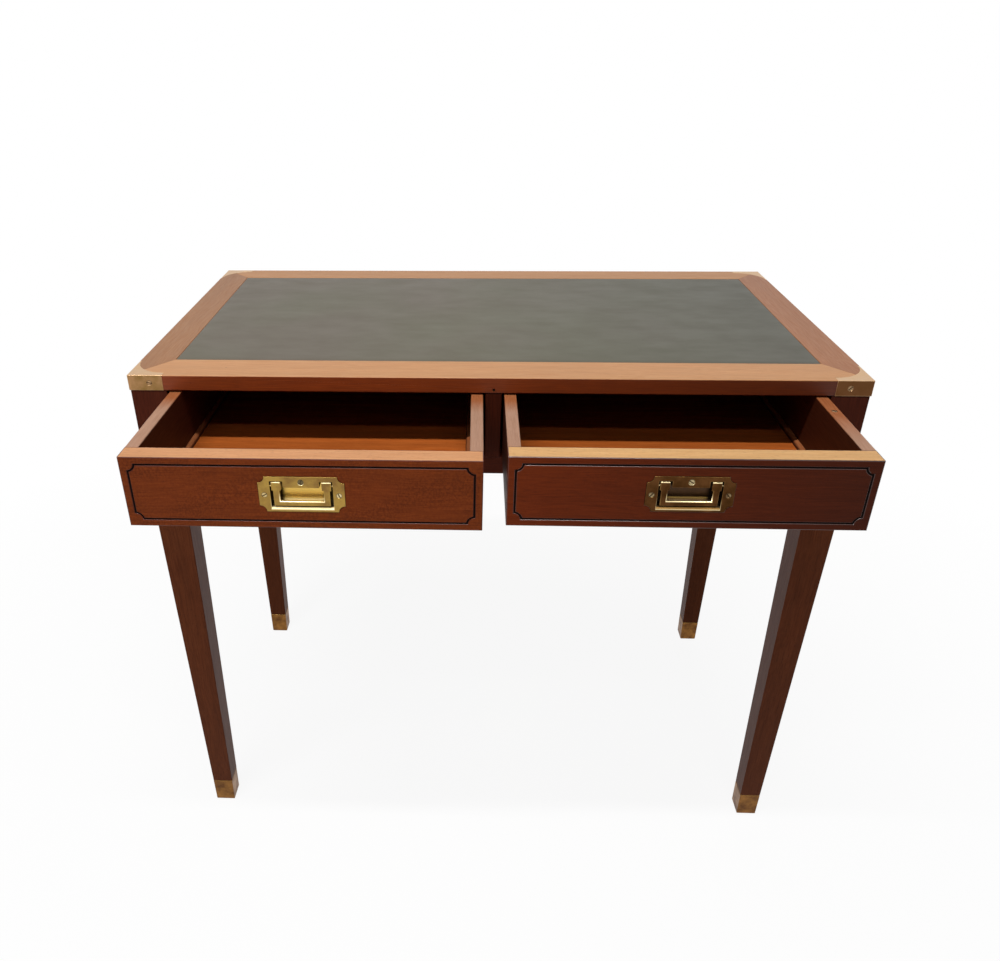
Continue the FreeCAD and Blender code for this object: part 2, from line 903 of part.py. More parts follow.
def build_drawer(where, sign, pulled):
    name = f"drawer_{where}"
    x = side(sign, *DRAWER_X)
    z = DRAWER_Z
    front_y = FACE - pulled
    front = (front_y, front_y + size("front_thickness"))
    end = front_y + DRAWER_LENGTH
    thickness = size("side_thickness")
    inside = (x[0] + thickness, x[1] - thickness)
    floor = (z[0] + size("bottom_rise"), z[0] + size("bottom_rise") + size("bottom_thickness"))
    groove = size("bottom_groove")

    sides = {
        "left": drawer_side(f"{name}_side_left_board", (x[0], inside[0]), (front[1], end), z),
        "right": drawer_side(f"{name}_side_right_board", (inside[1], x[1]), (front[1], end), z),
    }
    bottom = block(
        f"{name}_bottom_board",
        (inside[0] - groove, inside[1] + groove),
        (front[1] - groove, end),
        floor,
    )
    node(f"{name}_bottom", bottom)
    stop_screw = None
    if where == "right":
        stop_screw = screw(
            f"{name}_stop_screw_body",
            middle((inside[1], x[1])),
            front_y + size("side_screw_setback"),
            z[1],
            FACING_UP,
            size("side_screw_head"),
        )
        node(f"{name}_side_screw", stop_screw)
    for hand, board in sides.items():
        tools = [bottom]
        if stop_screw and hand == "right":
            tools.append(stop_screw)
        node(f"{name}_side_{hand}", cut(f"{name}_side_{hand}_grooved", board, tools))

    back_board = block(
        f"{name}_back_board",
        x,
        (end - size("back_thickness"), end),
        (floor[1], z[1] - size("back_drop")),
    )
    node(f"{name}_back", cut(f"{name}_back_joined", back_board, list(sides.values())))

    half_width = (x[1] - x[0]) / 2
    half_height = (z[1] - z[0]) / 2
    string = string_inlay(f"{name}_string_body", half_width, half_height)
    place(string, middle(x), front_y, middle(z))
    node(f"{name}_string", string)

    casting, hollow, bail, pivots, bores, screws = pull(f"pull_{where}", middle(x), front_y, middle(z))
    node(f"pull_{where}_plate", cut(f"pull_{where}_finished", casting, [hollow, *bores, *screws]))
    node(f"pull_{where}_bail", cut(f"pull_{where}_bail_bored", bail, pivots))
    node(f"pull_{where}_pivots", group(f"pull_{where}_pivot_pair", pivots))
    node(f"pull_{where}_screws", group(f"pull_{where}_screw_set", screws))

    front_board = block(f"{name}_front_board", x, front, z)
    tools = [*sides.values(), bottom, string, casting, *screws]
    node(f"{name}_front", cut(f"{name}_front_fitted", front_board, tools))

    beads = []
    radius = size("bead_radius")
    for hand, edge, inward in (("left", inside[0], 1), ("right", inside[1], -1)):
        bead = new_body(f"{name}_bead_{hand}")
        round_edge = (ZERO, ZERO, radius)
        corners = [(ZERO, ZERO), (radius * inward, ZERO, round_edge), (ZERO, radius)]
        pad(bead, f"{name}_bead_{hand}_pad", "XZ_Plane", [corners], (front[1], end - size("back_thickness")))
        place(bead, edge, ZERO, floor[1])
        beads.append(bead)
    node(f"{name}_beads", group(f"{name}_bead_pair", beads))


# ---------------------------------------------------------------------------
# Checks and export
# ---------------------------------------------------------------------------


def check_document():
    for obj in doc.Objects:
        if "Invalid" in obj.State or "Error" in obj.State:
            raise RuntimeError(f"{obj.Name} failed to recompute: {obj.State}")
    for label, obj in NODES.items():
        if obj.Shape.isNull() or not obj.Shape.isValid():
            raise RuntimeError(f"{label} has no valid shape")


build_top()
build_legs_and_frieze()
build_runners()
build_drawer("left", -1, size("pull_left"))
build_drawer("right", 1, size("pull_right"))
doc.recompute()
check_document()

os.makedirs("parts", exist_ok=True)
for label, obj in NODES.items():
    obj.Shape.exportStep(f"parts/{label}.step")
    print(label, len(obj.Shape.Solids), round(obj.Shape.Volume, 1))
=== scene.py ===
"""Campaign desk: a mahogany writing table with a leather top, two drawers and brass mounts.

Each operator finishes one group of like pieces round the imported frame, and the last one sets
the stage.  Lengths are metres, in the frame's own axes: X to the sitter's right, Y to the back.
"""

import json
import math

import bmesh
import bpy
import numpy as np
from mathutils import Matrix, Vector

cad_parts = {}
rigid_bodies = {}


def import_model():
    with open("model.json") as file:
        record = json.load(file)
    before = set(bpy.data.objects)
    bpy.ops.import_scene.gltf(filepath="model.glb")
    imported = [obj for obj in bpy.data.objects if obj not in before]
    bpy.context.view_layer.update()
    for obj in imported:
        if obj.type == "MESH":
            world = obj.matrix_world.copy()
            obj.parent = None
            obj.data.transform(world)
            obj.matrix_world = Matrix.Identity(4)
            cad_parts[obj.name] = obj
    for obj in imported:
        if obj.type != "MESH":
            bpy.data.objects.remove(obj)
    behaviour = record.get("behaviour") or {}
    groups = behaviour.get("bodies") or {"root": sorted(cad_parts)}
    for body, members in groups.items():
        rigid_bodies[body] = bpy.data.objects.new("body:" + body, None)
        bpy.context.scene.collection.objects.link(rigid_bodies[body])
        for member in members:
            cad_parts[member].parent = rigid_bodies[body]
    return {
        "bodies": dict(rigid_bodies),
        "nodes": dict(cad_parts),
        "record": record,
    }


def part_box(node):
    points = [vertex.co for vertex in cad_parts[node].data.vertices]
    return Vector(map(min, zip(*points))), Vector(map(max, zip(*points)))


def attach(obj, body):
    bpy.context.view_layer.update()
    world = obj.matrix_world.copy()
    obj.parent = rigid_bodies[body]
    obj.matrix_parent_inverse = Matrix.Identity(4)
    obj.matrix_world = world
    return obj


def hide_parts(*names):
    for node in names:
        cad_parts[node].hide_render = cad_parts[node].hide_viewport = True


bl_info = {
    "name": "Campaign desk",
    "version": (1, 0, 0),
    "blender": (4, 5, 0),
    "location": "View3D > Sidebar > Desk",
    "description": "Finishes the pieces of a leather-topped campaign desk",
    "category": "Object",
}

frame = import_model()

MM = 0.001

# Points nearer than this are one point.
WELD = 1e-6
# Faces that meet at less than the first turn are one flat face, and at more than the second they
# meet in an arris.
FLAT_TURN = math.radians(0.2)
ARRIS_TURN = math.radians(30)
# A flat face of more sides than this may be a ring.
RING_SIDES = 8

SLOT_OF = {row["node"]: row["material_slot"] for row in frame["record"]["subparts"]}
BODY_OF = {
    name: body
    for name, node in frame["nodes"].items()
    for body, holder in frame["bodies"].items()
    if node.parent == holder
}
SIDES = ("left", "right")
CORNERS = [f"{end}_{side}" for end in ("front", "back") for side in SIDES]
X, Y, Z = range(3)


def linear(code):
    """The linear colour of an sRGB hex code, by the standard's curve."""
    channels = np.array([int(code[i : i + 2], 16) for i in (1, 3, 5)]) / 255
    curve = np.where(channels <= 0.04045, channels / 12.92, ((channels + 0.055) / 1.055) ** 2.4)
    return tuple(float(value) for value in curve)


# ---- Sizes and colours that a user would change ----


def length(name, default, description):
    """A property for a length in metres."""
    return bpy.props.FloatProperty(
        name=name, description=description, default=default, min=0, unit="LENGTH", precision=5
    )


def colour(name, code, description):
    """A property for a colour, given as its sRGB hex code."""
    return bpy.props.FloatVectorProperty(
        name=name, description=description, default=linear(code), size=3, min=0, max=1, subtype="COLOR"
    )


class DeskSizes(bpy.types.PropertyGroup):
    """How far each kind of edge is eased, and the sizes of the finest details."""

    board_arris: length("Board arris", 1.0 * MM, "Rounding of the outer edges of the show wood")
    rough_arris: length("Rough arris", 0.6 * MM, "Rounding of the edges of the hidden timbers")
    brass_arris: length("Brass arris", 0.5 * MM, "Rounding of the edges of the brass plates")
    bail_arris: length("Bail arris", 0.9 * MM, "Rounding of the edges of the swinging bails")
    leather_tuck: length("Leather tuck", 0.7 * MM, "How far the leather rolls down at its edge")
    leather_swell: length("Leather swell", 0.06 * MM, "Height of the slow waves in the leather")
    string_sink: length("String sink", 0.6 * MM, "Depth of the string below the drawer front")
    string_hollow: length("String hollow", 0.25 * MM, "Extra depth along the middle of the string")
    slot_width: length("Slot width", 1.2 * MM, "Width of the screws' slots")
    slot_depth: length("Slot depth", 0.8 * MM, "Depth of the screws' slots")
    screw_crown: length("Screw crown", 0.3 * MM, "Fall of a screw head from its middle to its rim")


class DeskColours(bpy.types.PropertyGroup):
    """The tones of the woods, the leather and the metals."""

    # Faded tones: the top's faces that look up, a sun-faded polish under a painted top light and sheen.
    faded_light: colour("Faded light", "#ca9360", "Sun-faded polish on the top, light grain")
    faded_dark: colour("Faded dark", "#bb8150", "Sun-faded polish on the top, dark grain")
    # Lip tones: the drawer fronts' faces that look up, lighter as a painted top light and sheen.
    lip_light: colour("Lip light", "#dfa671", "Rubbed upper edges of the drawer fronts, light grain")
    lip_dark: colour("Lip dark", "#d19561", "Rubbed upper edges of the drawer fronts, dark grain")
    polish_light: colour("Polish light", "#7a3413", "French-polished mahogany, light grain")
    polish_dark: colour("Polish dark", "#62270c", "French-polished mahogany, dark grain")
    # Frieze tones: darker than the polish of the fronts, a painted shade under the top.
    frieze_light: colour("Frieze light", "#4e1f10", "Mahogany under the top, light grain")
    frieze_dark: colour("Frieze dark", "#3c160b", "Mahogany under the top, dark grain")
    leg_light: colour("Leg light", "#69361c", "Mahogany of the legs, light grain")
    leg_dark: colour("Leg dark", "#532712", "Mahogany of the legs, dark grain")
    lining_light: colour("Lining light", "#48200f", "Drawer sides, light grain")
    lining_dark: colour("Lining dark", "#36170b", "Drawer sides, dark grain")
    # The drawer sides' upper edges: lighter as a painted top light and sheen, with less of the painted
    # sheen further back.
    sawn_light: colour("Sawn light", "#b28b74", "Upper edges of the drawer sides, light grain")
    sawn_dark: colour("Sawn dark", "#a27961", "Upper edges of the drawer sides, dark grain")
    unworn_light: colour("Unworn light", "#a5663f", "The same edges towards the back, light grain")
    unworn_dark: colour("Unworn dark", "#8c4f2d", "The same edges towards the back, dark grain")
    floor_light: colour("Floor light", "#b25f28", "Drawer bottoms, light grain")
    floor_dark: colour("Floor dark", "#9c4c1c", "Drawer bottoms, dark grain")
    rough_light: colour("Rough light", "#7a5030", "Hidden timbers, light grain")
    rough_dark: colour("Rough dark", "#5f3d26", "Hidden timbers, dark grain")
    pores: colour("Pores", "#2a0f07", "Filled pores of the mahogany")
    leather_green: colour("Leather green", "#4a4731", "Green side of the writing leather")
    leather_brown: colour("Leather brown", "#4c4333", "Brown side of the writing leather")
    # Cream: the corner mounts' upper faces and folds, a painted top light and highlight.
    brass_cream: colour("Brass cream", "#cba77f", "Upper faces of the corner mounts")
    # Edge: pale brass of the pulls' screws and arrises, partly wear and partly a painted highlight, and
    # of the upper faces of the bails and the left plate, a painted top light.
    brass_edge: colour("Brass edge", "#f0dcaa", "Brass arrises that hands keep bright")
    # Lining: the left pull's cup, lighter as a painted light inside it.
    brass_lining: colour("Brass lining", "#e3be62", "Inside of the left pull's cup")
    brass_bright: colour("Brass bright", "#ad8c46", "Clean lacquered brass")
    brass_aged: colour("Brass aged", "#89693a", "Dulled brass")
    brass_mount: colour("Brass mount", "#ad835a", "Folded fronts of the left mounts")
    brass_shoe: colour("Brass shoe", "#8c6131", "Brass of the shoes")
    # Russet, brown and dark: the right mounts and right pull are darker than the left ones, a painted
    # shade where the light falls off to the right.  Dark also lines the right pull's cup, a painted
    # shade, and brown is also the shoes' own tarnish.
    brass_russet: colour("Brass russet", "#644228", "Folded fronts of the right mounts")
    brass_brown: colour("Brass brown", "#5d3c20", "Brown tarnish")
    brass_dark: colour("Brass dark", "#412810", "Darkest tarnish on a face")
    # Deep: a painted shade in the pulls' cups and in and round the screws' slots, which also darkens
    # the screws' own tarnish.
    brass_shade_and_tarnish: colour("Brass deep", "#1c1108", "Tarnish in a slot or the bottom of a recess")
    ebony: colour("Ebony", "#0d0807", "Ebony string")


def sizes():
    """The desk's sizes, as the panel shows them."""
    return bpy.context.scene.desk_sizes


def colours():
    """The desk's tones, as the panel shows them."""
    return bpy.context.scene.desk_colours


# ---- Shapes ----


def node_box(node):
    """A CAD node's lowest and highest corners as arrays."""
    return [np.array(corner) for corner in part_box(node)]


def new_piece(mesh, node, *materials):
    """A piece that stands for one CAD node and rides on its body."""
    piece = bpy.data.objects.new(mesh.name, mesh)
    mesh.materials.clear()
    for material in materials:
        mesh.materials.append(material)
    bpy.context.scene.collection.objects.link(piece)
    body, slot = BODY_OF[node], SLOT_OF[node]
    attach(piece, body)
    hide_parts(node)
    return piece


def eased_copy(
    node,
    material,
    ease,
    inner_share=0.5,
    outer_share=1.0,
    rubbed=None,
    middle_zone=None,
    whole_above=math.inf,
):
    """A copy of a CAD node whose triangles are merged and whose convex arrises are rounded.

    An arris on two faces of the node's own box, or outside its middle zone if that is given as
    half sizes, takes the outer share of the ease, and any other the inner share.  The rounded
    strips take the rubbed finish, if there is one: on the drawer fronts a darker one, a painted
    shade, and on the brass a lighter one, partly wear and partly a painted highlight.  Flat faces
    of many sides are cut into triangles, because some are rings that would be filled in.  A large
    show face, of more sides than whole_above, stays whole, because seams across it would catch
    the light.
    """
    mesh = frame["nodes"][node].data.copy()
    mesh.name = f"{node}_finished"
    shape = bmesh.new()
    shape.from_mesh(mesh)
    bmesh.ops.remove_doubles(shape, verts=shape.verts, dist=WELD)
    low, high = node_box(node)
    weight = shape.edges.layers.float.new("bevel_weight_edge")
    for edge in shape.edges:
        turn = edge.calc_face_angle_signed(0.0)
        edge.smooth = abs(turn) < ARRIS_TURN
        if turn > ARRIS_TURN:
            middle = np.array((edge.verts[0].co + edge.verts[1].co) / 2)
            outer = np.sum((abs(middle - low) < WELD) | (abs(middle - high) < WELD)) >= 2
            if middle_zone is not None:
                outer |= bool(np.any(abs(middle - (low + high) / 2) > middle_zone))
            edge[weight] = outer_share if outer else inner_share
    bmesh.ops.dissolve_limit(shape, angle_limit=FLAT_TURN, verts=shape.verts, edges=shape.edges)
    many_sided = [face for face in shape.faces if RING_SIDES < len(face.verts) <= whole_above]
    bmesh.ops.triangulate(shape, faces=many_sided)
    for face in shape.faces:
        face.smooth = True
    shape.to_mesh(mesh)
    shape.free()
    piece = new_piece(mesh, node, *(finish for finish in (material, rubbed) if finish))
    bevel = piece.modifiers.new("Eased arrises", "BEVEL")
    bevel.limit_method = "WEIGHT"
    bevel.width = ease
    bevel.segments = 2
    bevel.use_clamp_overlap = False
    bevel.face_strength_mode = "FSTR_ALL"
    level = piece.modifiers.new("Even shading", "WEIGHTED_NORMAL")
    level.keep_sharp = True
    level.use_face_influence = True
    if rubbed:
        bevel.material = 1


def grid_faces(rows, columns, offset, closed):
    """Quads between neighbouring points of a grid, by rows; closed joins the last row and column."""
    index = np.arange(rows * columns).reshape(rows, columns)
    if closed:
        index = np.pad(index, ((0, 1), (0, 1)), mode="wrap")
    quads = np.stack((index[:-1, :-1], index[:-1, 1:], index[1:, 1:], index[1:, :-1]), axis=-1)
    return quads.reshape(-1, 4) + offset


def welded_mesh(name, points, faces, crease=40, soil=None):
    """A mesh of the points and faces, with points that meet made one and its faces outwards.

    Edges that turn by more than the crease, in degrees, are sharp.  Shade and soil, if given, is
    how much painted shade and dirt each point takes, and the finish reads it as an attribute.
    """
    mesh = bpy.data.meshes.new(name)
    mesh.from_pydata(points.reshape(-1, 3).tolist(), [], faces.tolist())
    if soil is not None:
        mesh.attributes.new("soil", "FLOAT", "POINT").data.foreach_set("value", soil.ravel())
    shape = bmesh.new()
    shape.from_mesh(mesh)
    bmesh.ops.remove_doubles(shape, verts=shape.verts, dist=WELD)
    bmesh.ops.dissolve_degenerate(shape, edges=shape.edges, dist=WELD)
    bmesh.ops.recalc_face_normals(shape, faces=shape.faces)
    for face in shape.faces:
        face.smooth = True
    shape.to_mesh(mesh)
    shape.free()
    mesh.set_sharp_from_angle(angle=math.radians(crease))
    return mesh


def carried_profile(name, path, profile):
    """A closed mesh of a flat profile carried round a closed path in the XZ plane.

    Each station's sideways direction is the sum of the normals of the two runs that meet there,
    divided by one plus their dot product, so the profile keeps its width through a mitre.
    """
    runs = np.roll(path, -1, axis=0) - path
    runs /= np.linalg.norm(runs, axis=1, keepdims=True)
    normals = np.stack((runs[:, 1], -runs[:, 0]), axis=1)
    before = np.roll(normals, 1, axis=0)
    sideways = (before + normals) / (1 + np.sum(before * normals, axis=1, keepdims=True))
    across = path[:, None, :] + sideways[:, None, :] * profile[None, :, :1]
    depth = np.broadcast_to(profile[None, :, 1], across.shape[:2])
    points = np.stack((across[..., 0], depth, across[..., 1]), axis=-1)
    return welded_mesh(name, points, grid_faces(*points.shape[:2], 0, True))


# Stations of a screw head across each side of its slot and along it, and the shares of its radius
# between which its painted shade grows.
HEAD_COLUMNS = 10
HEAD_ROWS = 13
RIM_SHADE = (0.7, 0.95)


def slotted_head(centre, out, turn, radius, depth, tarnish):
    """Two grids for a screw head and its dirt: columns run along the slot, rows round its length.

    Along a column at x the rows reach plus and minus the root of radius squared less x squared.
    The face falls from the middle as the square of the distance, and the slot is cut square.
    Its dirt is a painted shade in the slot and round the rim, growing from clean to full between
    two shares of the radius, over the head's own tarnish.
    """
    size = sizes()
    half, floor = size.slot_width / 2, -size.slot_depth
    swing = np.linspace(math.pi / 2, math.asin(half / radius), HEAD_COLUMNS)
    flank = radius * np.sin(swing)
    x = np.concatenate((-flank, [-half, half], flank[::-1]))
    in_slot = np.zeros(x.size)
    in_slot[flank.size : flank.size + 2] = 1
    x = np.concatenate((x[:1], x, x[-1:]))
    in_slot = np.pad(in_slot, 1)[:, None]
    v = np.concatenate(([-1], np.linspace(-1, 1, HEAD_ROWS), [1]))
    y = v[None, :] * np.sqrt(np.maximum(radius**2 - x**2, 0))[:, None]
    x = np.broadcast_to(x[:, None], y.shape)
    reach = np.sqrt(x**2 + y**2) / radius
    z = np.where(in_slot > 0, floor, -size.screw_crown * reach**2)
    z[0], z[-1], z[:, 0], z[:, -1] = -depth, -depth, -depth, -depth
    rim = np.interp(reach, RIM_SHADE, (0, 1))
    shade_and_dirt = np.maximum(np.maximum(in_slot, rim), tarnish)
    out = np.array(out, float)
    first = np.cross(out, (0.0, 0.0, 1.0) if abs(out[Z]) < 0.5 else (1.0, 0.0, 0.0))
    second = np.cross(out, first)
    along = math.cos(turn) * first + math.sin(turn) * second
    across = np.cross(along, out)

    def placed(height):
        return np.array(centre) + x[..., None] * across + y[..., None] * along + height[..., None] * out

    return placed(z), placed(np.full(z.shape, -float(depth))), shade_and_dirt


def slotted_screws(name, heads, material, node):
    """One piece of several heads, each given as centre, outward axis, turn, radius, depth, tarnish."""
    points, faces, soil, count = [], [], [], 0
    for head in heads:
        face, back, shade_and_dirt = slotted_head(*head)
        for grid in (face, back):
            points.append(grid.reshape(-1, 3))
            soil.append(shade_and_dirt.ravel())
            faces.append(grid_faces(*grid.shape[:2], count, False))
            count += shade_and_dirt.size
    points, faces, soil = (np.concatenate(part) for part in (points, faces, soil))
    new_piece(welded_mesh(name, points, faces, crease=25, soil=soil), node, material)


# ---- Finishes ----


def add(tree, kind, *values, named=None, output=None, **settings):
    """Adds a shader node and gives one of its outputs: the first open one, if none is named.

    Settings are the node's properties.  Values and links go to its open inputs in their order,
    and named holds those that go to an input by its name.  A colour is given without its alpha.
    """
    node = tree.nodes.new(f"ShaderNode{kind}")
    for key, value in settings.items():
        setattr(node, key, value)
    filled = [*zip((socket for socket in node.inputs if socket.enabled), values)]
    filled += [(node.inputs[key], value) for key, value in (named or {}).items()]
    for socket, value in filled:
        if isinstance(value, bpy.types.NodeSocket):
            tree.links.new(value, socket)
        else:
            socket.default_value = (*value, 1.0) if socket.type == "RGBA" else value
    if output:
        return node.outputs[output]
    return next((socket for socket in node.outputs if socket.enabled), None)


# Settings of a Mix node that mixes two colours by a factor, of one that multiplies them, and of
# a Math node that multiplies.
TINT = {"data_type": "RGBA"}
SHADE = {"data_type": "RGBA", "blend_type": "MULTIPLY"}
PRODUCT = {"operation": "MULTIPLY"}


def new_finish(name):
    """An empty material and its tree."""
    material = bpy.data.materials.new(name)
    material.use_nodes = True
    material.node_tree.nodes.clear()
    return material, material.node_tree


def facing_up(tree, low=0.35, high=0.75):
    """One on faces that look up and nought on the rest."""
    normal = add(tree, "NewGeometry", output="Normal")
    rise = add(tree, "SeparateXYZ", normal, output="Z")
    return add(tree, "MapRange", rise, low, high)


def grain(tree, place, sizes_mm, detail=2.0, roughness=0.55):
    """Noise whose features are about the given sizes along X, Y and Z, in millimetres."""
    scale = [1 / (value * MM) for value in sizes_mm]
    mapped = add(tree, "Mapping", place, named={"Scale": scale})
    return add(tree, "TexNoise", mapped, 1.0, detail, roughness)


# Each maker below builds a finish in a material's tree and gives the inputs of its shader.

# Width across the grain and length along it of the wood's marks, and the size of the patches
# that its mottle comes in, all in millimetres.
STREAK_MM = (1.2, 45)
PORE_MM = (0.9, 6)
BAND_MM = (13, 220)
FLECK_MM = (3, 2.2)
PATCH_MM = (70, 70, 40)
PORE_DEPTH = 0.05 * MM

# The grain wanders by up to half of the first length, and turns about so often in a metre.
WANDER = 12 * MM
WANDERS_PER_METRE = 9.0

# How dark a mottle fleck is beside the dark grain, and how rough the dark and the light streaks
# are beside the finish's gloss.
FLECK_SHARE = 0.45
STREAK_ROUGHNESS = (0.06, -0.04)

# Places along X between which the polish darkens, a painted shade where the light falls off,
# the leather browns, and the leather darkens, a painted shade too.
FALL_ACROSS = (-0.1, 0.44)
BROWN_ACROSS = (-0.42, 0.35)
SHADE_ACROSS = (-0.05, 0.42)


def timber(
    tree,
    along,
    light,
    dark,
    crown=None,
    unworn=None,
    unworn_from=(0.0, 1.0),
    bands=0.14,
    mottle=0.0,
    pores=0.25,
    gloss=0.42,
    shine=0.1,
    knots=(),
    fall=0.0,
    frieze=None,
):
    """Planed and polished mahogany, its grain along one axis.

    To the eye it has fine straight streaks, slow darker bands, short dark pores, and a thin film
    of polish over all.  The pores are drawn coarser than the real ones, so that they show.
    Mottle is a broken figure of dark flecks, in patches.  A crown is the pair of tones of faces
    that look up: a painted top light and sheen, over a sun-faded polish on the top's boards.
    Less sheen is the same pair further back, past the two given places along Y, with less of the
    painted sheen.  Frieze is the pair of tones above the drawer rail, a painted shade under the
    top.  Fall darkens the polish towards the right of the desk, a painted shade where the light
    falls off.
    """
    place = add(tree, "TexCoord", output="Object")
    drift = add(tree, "TexNoise", place, WANDERS_PER_METRE, 1.0, output="Color")
    centred = add(tree, "VectorMath", drift, (0.5,) * 3, operation="SUBTRACT")
    swayed = add(tree, "VectorMath", centred, (WANDER,) * 3, place, operation="MULTIPLY_ADD")
    across, back, rise = add(tree, "SeparateXYZ", place).node.outputs

    def fibres(width, run, detail, roughness=0.55):
        extent = [width] * 3
        extent[along] = run
        return grain(tree, swayed, extent, detail, roughness)

    def streaked(light, dark):
        return add(tree, "Mix", streaks, dark, light, **TINT)

    streaks = add(tree, "MapRange", fibres(*STREAK_MM, 3, 0.6), 0.3, 0.7)
    flecks = add(tree, "MapRange", fibres(*PORE_MM, 1), 0.60, 0.72)
    body = streaked(light, dark)
    if frieze:
        above = add(tree, "MapRange", rise, *FRIEZE_FROM)
        body = add(tree, "Mix", above, body, streaked(*frieze), **TINT)
    if mottle:
        patches = add(tree, "MapRange", grain(tree, place, PATCH_MM, 1.0), 0.38, 0.62, 0.4, 1.0)
        broken = add(tree, "MapRange", fibres(*FLECK_MM, 3, 0.7), 0.58, 0.42, 0.0, mottle)
        shade = add(tree, "Math", patches, broken, **PRODUCT)
        fleck = [FLECK_SHARE * value for value in dark]
        body = add(tree, "Mix", shade, body, fleck, **TINT)
    # Painted shade: the polish darkens towards the right, where the light falls off.
    if fall:
        shade = add(tree, "MapRange", across, *FALL_ACROSS, 1.0, 1.0 - fall)
        body = add(tree, "Mix", 1.0, body, shade, **SHADE)
    # Painted top light and sheen: faces that look up take the crown's tones.
    if crown:
        upper_faces_lit = streaked(*crown)
        if unworn:
            further = add(tree, "MapRange", back, *unworn_from)
            upper_faces_lit = add(tree, "Mix", further, upper_faces_lit, streaked(*unworn), **TINT)
        body = add(tree, "Mix", facing_up(tree), body, upper_faces_lit, **TINT)
    figure = add(tree, "MapRange", fibres(*BAND_MM, 3), 0.35, 0.68, 1.0 - bands, 1.0)
    body = add(tree, "Mix", 1.0, body, figure, **SHADE)
    pore = colours().pores
    filled = add(tree, "MapRange", flecks, 0.0, 1.0, 0.0, pores)
    body = add(tree, "Mix", filled, body, pore, **TINT)
    for spot, radius in knots:
        reach = add(tree, "VectorMath", swayed, spot, operation="DISTANCE")
        knot = add(tree, "MapRange", reach, radius * 0.5, radius, 0.85, 0.0)
        body = add(tree, "Mix", knot, body, pore, **TINT)
    dark_rough, light_rough = (gloss + part for part in STREAK_ROUGHNESS)
    level = add(tree, "MapRange", flecks, 0.0, 1.0, 1.0, 0.0)
    relief = add(tree, "Bump", named={"Strength": 0.3, "Distance": PORE_DEPTH, "Height": level})
    return {
        "Base Color": body,
        "Roughness": add(tree, "MapRange", streaks, 0.0, 1.0, dark_rough, light_rough),
        "Normal": relief,
        "IOR": 1.5,
        "Specular IOR Level": shine,
    }


# The leather's clouds, rubbed patches and pebbles, in millimetres, and the pebbles' height.
CLOUD_MM = (180, 180, 180)
RUBBED_MM = (60, 30, 30)
PEBBLE_MM = 1.3
PEBBLE_HEIGHT = 0.08 * MM


def skiver(tree):
    """Aniline-dyed skiver, waxed: dark grey-green going to brown in slow clouds, with fine grain.

    The grain's pebbles are drawn coarser than the real ones, so that they show.  It is browner
    towards the left, and darker towards the right, a painted shade where the light falls off.
    """
    tone = colours()
    place = add(tree, "TexCoord", output="Object")
    across = add(tree, "SeparateXYZ", place, output="X")
    side = add(tree, "MapRange", across, *BROWN_ACROSS, 0.22, -0.22)
    clouds = grain(tree, place, CLOUD_MM, 3.0, 0.5)
    browned = add(tree, "MapRange", add(tree, "Math", clouds, side, operation="ADD"), 0.3, 0.75)
    body = add(tree, "Mix", browned, tone.leather_green, tone.leather_brown, **TINT)
    rubbed = grain(tree, place, RUBBED_MM, 3.0, 0.6)
    # The first share is a painted shade towards the right, where the light falls off.
    for share in (
        add(tree, "MapRange", across, *SHADE_ACROSS, 1.0, 0.5),
        add(tree, "MapRange", rubbed, 0.35, 0.65, 0.97, 1.03),
    ):
        body = add(tree, "Mix", 1.0, body, share, **SHADE)
    pebbles = add(tree, "TexVoronoi", place, 1 / (PEBBLE_MM * MM))
    bump = {"Strength": 0.3, "Distance": PEBBLE_HEIGHT, "Height": pebbles}
    relief = add(tree, "Bump", named=bump, invert=True)
    roughness = add(tree, "MapRange", rubbed, 0.3, 0.7, 0.5, 0.42)
    return {"Base Color": body, "Roughness": roughness, "Normal": relief, "IOR": 1.5}


# The brass's clouds of tarnish, its specks and its casting texture, in millimetres, and the depth
# of that texture.
TARNISH_MM = (22, 22, 22)
SPECK_MM = (3, 3, 3)
CAST_MM = (0.9, 0.9, 0.9)
CAST_DEPTH = 0.03 * MM

# A pull's cup, measured back from its plate's face, up from the middle of its mouth, and out from
# there to either side.  Each pair is where a tone or a share starts and where it is whole.
CUP_SILL = -15.5 * MM
LINED_BACK = (2 * MM, 8 * MM)
TARNISHED_BACK = (2 * MM, 6 * MM)
# The cove's band takes a painted highlight.
COVE_BACK = (9 * MM, 10 * MM)
COVE_FOOT = (CUP_SILL + 4.2 * MM, CUP_SILL + 4.8 * MM)
COVE_HEAD = (CUP_SILL + 6.0 * MM, CUP_SILL + 6.8 * MM)
MOUTH_OUT = (35 * MM, 36 * MM)
MOUTH_UP = (20 * MM, 20.8 * MM)
# Painted shade behind the sill and beside the bail's arms, at most the deepest share below.
SHADE_BACK = (1.6 * MM, 2.1 * MM)
SILL_SHADE_UP = (CUP_SILL + 0.3 * MM, CUP_SILL + 1.2 * MM)
ARM_SHADE_OUT = (21 * MM, 24 * MM)
DEEPEST_SHADE_AND_DIRT = 0.9


